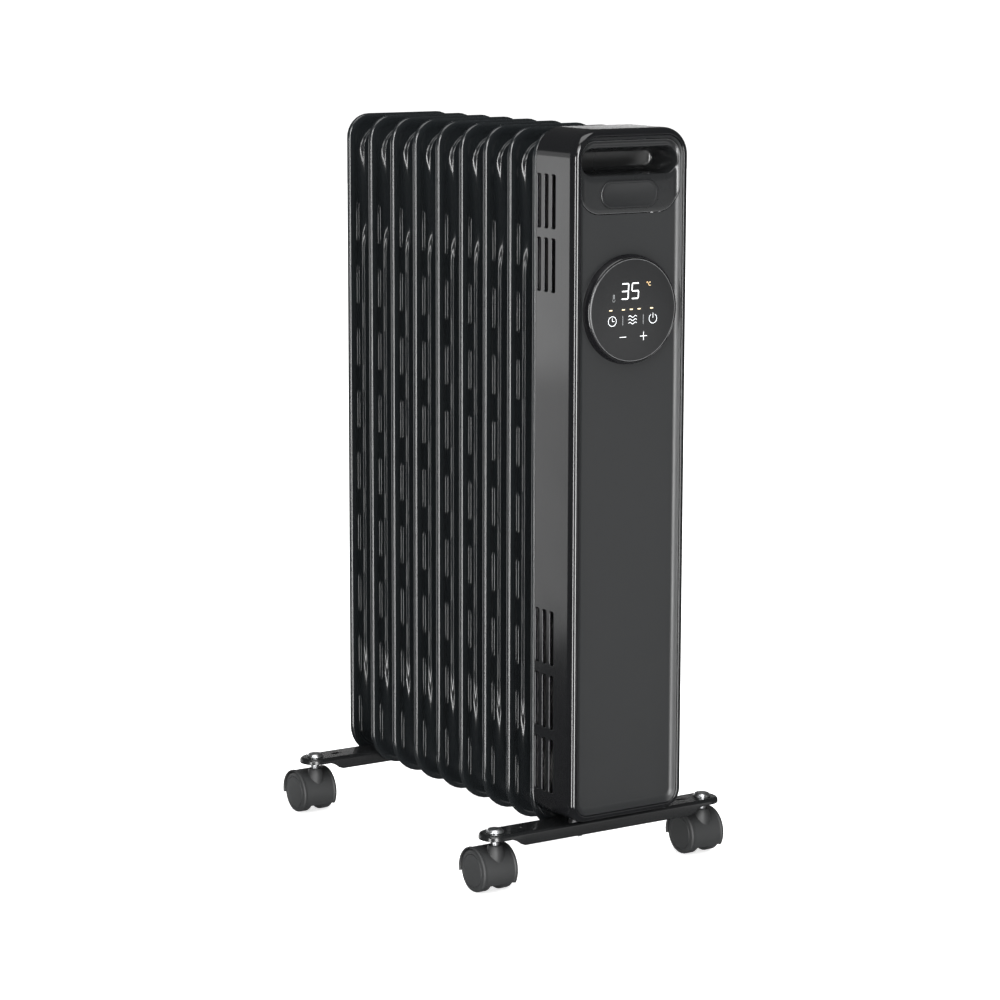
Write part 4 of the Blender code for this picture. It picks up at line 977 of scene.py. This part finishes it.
# ---------------------------------------------------------------- feet and castors
@dataclass
class Foot:
    """A pressed channel foot: a flat top with rolled edges, and sides that rise towards the ends."""

    node: str
    sheet: float = 0.0015
    lip: float = 0.0050
    taper_start: float = 0.0860
    taper_end: float = 0.0985
    thickness: float = 0.0114
    edge_profile: Profile = (
        (0.0032, 0.0), (0.0020, 0.00015), (0.0010, 0.0007), (0.0003, 0.0016), (0.0, 0.0028))
    inner_drop: float = 0.0036
    inner_turn: float = 0.0022
    stations: tuple[float, ...] = (0.0, 0.05, 0.0860, 0.0900, 0.0945, 0.0985)
    end_steps: int = 12
    recess_side: float = 0.0850
    recess_length: float = 0.0100
    recess_width: float = 0.0046
    recess_depth: float = 0.0040
    recess_clear: float = 0.0010

    def __post_init__(self) -> None:
        """Take the foot's place from the frame."""
        low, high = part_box(self.node)
        self.half_length, self.half_width = (high.x - low.x) / 2, (high.y - low.y) / 2
        self.middle = (low.y + high.y) / 2
        self.base = low.z
        self.top = self.base + self.thickness

    def build(self) -> None:
        """Make the foot."""
        foot = Workpiece(f"{self.node}_pressing")
        loops = [self.loop(inset, drop, False) for inset, drop in self.edge_profile]
        loops += [self.loop(0.0, 0.0, True), self.loop(self.sheet, 0.0, True),
                  self.loop(self.sheet, self.inner_drop, False),
                  self.loop(self.sheet + self.inner_turn, self.sheet, False)]
        foot.loft(loops)
        foot.carve(self.recess_tool())
        foot.finish(FOOT_ENAMEL, replaces=[self.node], sharp=42, soften=0.0004)

    def loop(self, inset: float, drop: float, lower: bool) -> list[Vector]:
        """Draw a line around the foot.

        Args:
            inset: How far inside its outline the line runs.
            drop: How far below the top it runs.
            lower: Whether it runs along the lower edge instead.

        Returns:
            The points.
        """
        radius = self.half_width - inset
        reach = self.half_length - self.half_width
        stations = sorted({hand * x for x in self.stations for hand in (-1, 1) if x < reach})
        turns = [math.radians(180 * step / self.end_steps - 90) for step in range(self.end_steps + 1)]
        end = [(reach + radius * math.cos(turn), radius * math.sin(turn)) for turn in turns]
        around = [(x, -radius) for x in stations] + end
        around += [(-x, -y) for x, y in around]
        return [Vector((x, self.middle + y, self.edge(x) if lower else self.top - drop)) for x, y in around]

    def edge(self, x: float) -> float:
        """Return the height of the foot's lower edge at a place across."""
        return between(self.base, self.top - self.lip, ease(abs(x), self.taper_start, self.taper_end))

    def recess_tool(self) -> Workpiece:
        """Make the tool that cuts the slot beside each castor.

        Returns:
            The tool.
        """
        tool = Workpiece("recess_tool")
        for side in (-1, 1):
            drawn = stadium(self.recess_length, self.recess_width, side * self.recess_side, self.middle)
            tool.loft([[Vector((x, y, self.top + z)) for x, y in drawn]
                       for z in (self.recess_clear, -self.recess_depth)])
        return tool


class Corner(Enum):
    """The four castors, by their place."""

    FRONT_LEFT = "fl"
    FRONT_RIGHT = "fr"
    REAR_LEFT = "rl"
    REAR_RIGHT = "rr"


@dataclass
class Castor:
    """A twin wheel castor: a plated stem, a moulded hood and two wheels."""

    corner: Corner
    wheel_radius: float = 0.0185
    wheel_inner: float = 0.0059
    wheel_outer: float = 0.0167
    hood_radius: float = 0.0205
    hood_half: float = 0.0170
    well_radius: float = 0.0192
    web_half: float = 0.0053
    trail: float = 0.0100
    boss_top: float = 0.0060
    boss_base: float = 0.0076
    stem_radius: float = 0.0038
    stem_tip: float = 0.0010
    head_profile: Profile = (
        (0.0, 0.0), (0.0030, 0.0001), (0.0050, 0.0003), (0.0062, 0.0008), (0.0067, 0.0015), (0.0068, 0.0020),
        (0.0073, 0.0021), (0.00775, 0.0025), (0.00775, 0.0033))
    stem_chamfer: float = 0.0008
    hood_turn: tuple[float, float] = (102, -122)
    hood_steps: int = 40
    band_foot: Profile = ((0.0004, 0.0), (0.0, 0.0003))
    band_profile: Profile = (
        (0.0002, -0.0005), (0.0008, -0.0001), (0.0014, 0.0), (0.0026, 0.0), (0.0032, -0.0005))
    band_dip: float = 0.0004
    boss_rise: float = 0.0022
    face_profile: Profile = (
        (0.0, 0.0), (0.0060, 0.0001), (0.0115, 0.0003), (0.0138, 0.0005), (0.0141, 0.0010), (0.0144, 0.0006),
        (0.0168, 0.0008), (0.0178, 0.0013), (0.0184, 0.0023))
    tread_inset: float = 0.0034
    back_profile: Profile = ((0.0, 0.0014), (0.0005, 0.0005), (0.0014, 0.0))

    def __post_init__(self) -> None:
        """Take the castor's place from the frame."""
        low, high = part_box(f"castor_{self.corner.value}_stem")
        self.stem = Vector(((low.x + high.x) / 2, (low.y + high.y) / 2, 0))
        self.axle = self.stem + Vector((0, self.trail, self.wheel_radius))
        self.low, self.high = low.z, high.z

    def build(self) -> None:
        """Make the castor in its place."""
        name = f"castor_{self.corner.value}"
        self.build_stem(name, self.low, self.high)
        self.build_hood(name)
        for hand, side in (("left", -1), ("right", 1)):
            wheel = Workpiece(f"{name}_tyre_{hand}")
            self.turn_wheel(wheel, side)
            wheel.finish(TYRE_NYLON, body=f"{name}_wheel_{hand}_body", replaces=[f"{name}_wheel_{hand}"],
                         sharp=45)

    def build_stem(self, name: str, base: float, top: float) -> None:
        """Make the plated stem with its low button head.

        Args:
            name: The castor's name.
            base: The height of the stem's lower end.
            top: The height of its head.
        """
        stem = Workpiece(f"{name}_pin")
        profile = [(radius, top - drop) for radius, drop in self.head_profile]
        profile += [(self.stem_radius, profile[-1][1]), (self.stem_radius, base + self.stem_tip),
                    (self.stem_radius - self.stem_chamfer, base), (0.0, base)]
        stem.lathe(profile, self.stem, Axis.Z, steps=40)
        stem.finish(ZINC, replaces=[f"{name}_stem"], sharp=40)

    def build_hood(self, name: str) -> None:
        """Make the hood: a cover over both wheels with raised side bands, a web and a boss.

        Args:
            name: The castor's name.
        """
        hood = Workpiece(f"{name}_cover")
        outer, half, well, web = self.hood_radius, self.hood_half, self.well_radius, self.web_half
        side = [(half - inset, well + rise) for inset, rise in self.band_foot]
        side += [(half - inset, outer + rise) for inset, rise in self.band_profile]
        side += [(0.0, outer - self.band_dip)]
        across = side + [(-x, r) for x, r in reversed(side[:-1])]
        across += [(-web, well), (-web, 0.0), (web, 0.0), (web, well)]
        loops = []
        for step in range(self.hood_steps + 1):
            turn = math.radians(between(*self.hood_turn, step / self.hood_steps))
            loops.append([Vector((x, r * math.sin(turn), r * math.cos(turn))) for x, r in across])
        hood.loft(loops)
        boss = Vector((0, -self.trail, 0))
        rise = outer + self.boss_rise
        profile = [(0.0045, rise - 0.0006), (0.0047, rise), (self.boss_top - 0.0006, rise),
                   (self.boss_top, rise - 0.0006), (self.boss_base, outer - 0.004),
                   (self.boss_base + 0.0005, 0.004), (0.0030, -0.004), (0.0, -0.006)]
        hood.lathe(profile, boss, Axis.Z, steps=40)
        hood.shift(self.axle)
        hood.finish(CASTOR_NYLON, body=name, replaces=[f"{name}_hood"], sharp=40)

    def turn_wheel(self, wheel: Workpiece, side: int) -> None:
        """Turn one wheel.

        Args:
            wheel: The workpiece.
            side: -1 for the left wheel and 1 for the right one.
        """
        face, radius, inner = self.wheel_outer, self.wheel_radius, self.wheel_inner
        profile = [(r, face - inset) for r, inset in self.face_profile]
        profile += [(radius, face - self.tread_inset)]
        profile += [(radius - inset, inner + reach) for inset, reach in self.back_profile]
        profile += [(0.0, inner)]
        wheel.lathe([(r, side * x) for r, x in profile], self.axle, Axis.X, steps=64)


# ---------------------------------------------------------------- pieces that keep their CAD shape
@dataclass(frozen=True)
class KeptPieces:
    """CAD nodes whose shape is right, and the finishes that they wear."""

    finishes: tuple[tuple[Finish, tuple[str, ...]], ...] = (
        (STEEL, ("heating_element", "element_flange", "housing_back_plate", "thermal_cutout",
                 "front_foot_bracket")),
        (ZINC, ("rear_u_bolt", "front_wing_nut_left", "front_wing_nut_right", "rear_wing_nut_left",
                "rear_wing_nut_right", *(f"castor_{corner.value}_axle" for corner in Corner))),
        (BRASS, ("oil_filler_plug",)),
        (BOARD_RESIN, ("display_board", "power_board")),
        (WHITE_MOULDING, ("terminal_block", "tilt_switch", "room_sensor")),
        (BROWN_SLEEVE, ("live_wire",)),
        (BLUE_SLEEVE, ("neutral_wire",)),
        (GLOSS_SHELL, ("cord_gland",)),
    )

    def dress(self) -> None:
        """Give every kept node its finish."""
        for finish, nodes in self.finishes:
            for node in nodes:
                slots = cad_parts[node].material_slots
                for slot in slots:
                    slot.material = finish.material()
                log.info("%s keeps its shape in %s", node, finish.name)


# ---------------------------------------------------------------- studio
@dataclass(frozen=True)
class SoftBox:
    """A soft area light."""

    name: str
    place: tuple[float, float, float]
    aim: tuple[float, float, float]
    width: float
    height: float
    power: float
    gloss_only: bool = True

    def build(self) -> None:
        """Hang the light."""
        lamp = bpy.data.lights.new(self.name, "AREA")
        lamp.shape = "RECTANGLE"
        lamp.size = self.width
        lamp.size_y = self.height
        lamp.energy = self.power
        made = bpy.data.objects.new(self.name, lamp)
        made.location = self.place
        toward = Vector(self.aim) - Vector(self.place)
        made.rotation_euler = toward.to_track_quat("-Z", "Y").to_euler()
        made.visible_camera = False
        made.visible_diffuse = not self.gloss_only
        bpy.context.scene.collection.objects.link(made)


@dataclass(frozen=True)
class Studio:
    """The pale floor, the soft lights and the camera."""

    camera_place: tuple[float, float, float] = (-1.5129, -2.3025, 0.7792)
    camera_right: tuple[float, float, float] = (0.8373, -0.5467, 0.0022)
    camera_up: tuple[float, float, float] = (0.0914, 0.1439, 0.9854)
    lens: float = 114.53
    sensor: float = 36.0
    white: float = 1.12
    gloss_level: float = 0.06
    floor_size: float = 14.0
    lights: tuple[SoftBox, ...] = (
        SoftBox("rear_left_upper", (-1.55, 2.45, 0.78), (0, 0, 0.78), 0.8, 0.54, 1.0),
        SoftBox("rear_left_box", (-1.55, 2.45, 0.265), (0, 0, 0.265), 0.8, 0.48, 2.6),
        SoftBox("rear_left_fill", (-1.55, 2.50, -0.22), (0, 0, -0.22), 0.8, 0.45, 1.5),
        SoftBox("rear_box", (0.25, 3.0, -0.15), (0, 0, -0.15), 2.2, 1.5, 22),
        SoftBox("left_strip", (-2.3, -1.1, -0.10), (0, 0, -0.10), 0.32, 1.8, 42),
        SoftBox("front_strip", (-1.15, -2.9, 0.45), (0, 0, 0.45), 0.9, 3.0, 165),
        SoftBox("front_right_box", (1.65, -2.5, -0.15), (0, 0, -0.15), 0.9, 0.9, 3),
        SoftBox("key_box", (-2.0, -2.2, 2.0), (0, 0, 0.3), 1.2, 1.2, 30, gloss_only=False),
        SoftBox("top_box", (-0.4, -0.6, 2.6), (0, 0, 0.3), 1.8, 1.8, 36, gloss_only=False),
        SoftBox("back_box", (2.0, 2.9, 0.74), (0, 0, 0.60), 1.6, 0.16, 1.5),
    )

    def build(self) -> None:
        """Set up the studio."""
        self.lay_floor()
        self.light_world()
        for light in self.lights:
            light.build()
        self.set_camera()

    def lay_floor(self) -> None:
        """Lay the plain floor."""
        floor = Workpiece("floor")
        bmesh.ops.create_grid(floor.mesh, x_segments=1, y_segments=1, size=self.floor_size / 2)
        made = floor.plain()
        white = Finish("floor_white", "", (0.96, 0.96, 0.96), 0.9, bump=0.0, mottle=0.0, specular=0.0,
                       glow=0.7)
        made.data.materials.append(white.material())
        made.visible_glossy = False
        made.visible_shadow = False

    def light_world(self) -> None:
        """Surround the scene with plain soft light, and keep most of it out of reflections."""
        world = bpy.data.worlds.new("studio")
        bpy.context.scene.world = world
        world.use_nodes = True
        tree = world.node_tree
        back = tree.nodes["Background"]
        adjust(back, {"Color": (1.0, 1.0, 1.0, 1.0)})
        path = tree.nodes.new("ShaderNodeLightPath")
        level = tree.nodes.new("ShaderNodeMapRange")
        adjust(level, {"To Min": self.white, "To Max": self.gloss_level})
        tree.links.new(path.outputs["Is Glossy Ray"], level.inputs["Value"])
        tree.links.new(level.outputs["Result"], back.inputs["Strength"])
        bpy.context.scene.view_settings.view_transform = "Standard"

    def set_camera(self) -> None:
        """Stand the camera in front of the left corner."""
        lens = bpy.data.cameras.new("camera")
        lens.lens = self.lens
        lens.sensor_width = self.sensor
        camera = bpy.data.objects.new("camera", lens)
        right, up = Vector(self.camera_right).normalized(), Vector(self.camera_up).normalized()
        turned = Matrix((right, up, right.cross(up))).transposed().to_4x4()
        camera.matrix_world = Matrix.Translation(self.camera_place) @ turned
        bpy.context.scene.collection.objects.link(camera)
        bpy.context.scene.camera = camera


def main() -> None:
    """Build the radiator heater, from its fins to its castors, and its studio."""
    logging.basicConfig(level=logging.INFO, format="%(message)s")
    FinRow().build()
    Headers().build()
    Housing().build()
    TouchDisc().build()
    for node in ("front_foot", "rear_foot"):
        Foot(node).build()
    for corner in Corner:
        Castor(corner).build()
    KeptPieces().dress()
    Studio().build()


if __name__ == "__main__":
    main()
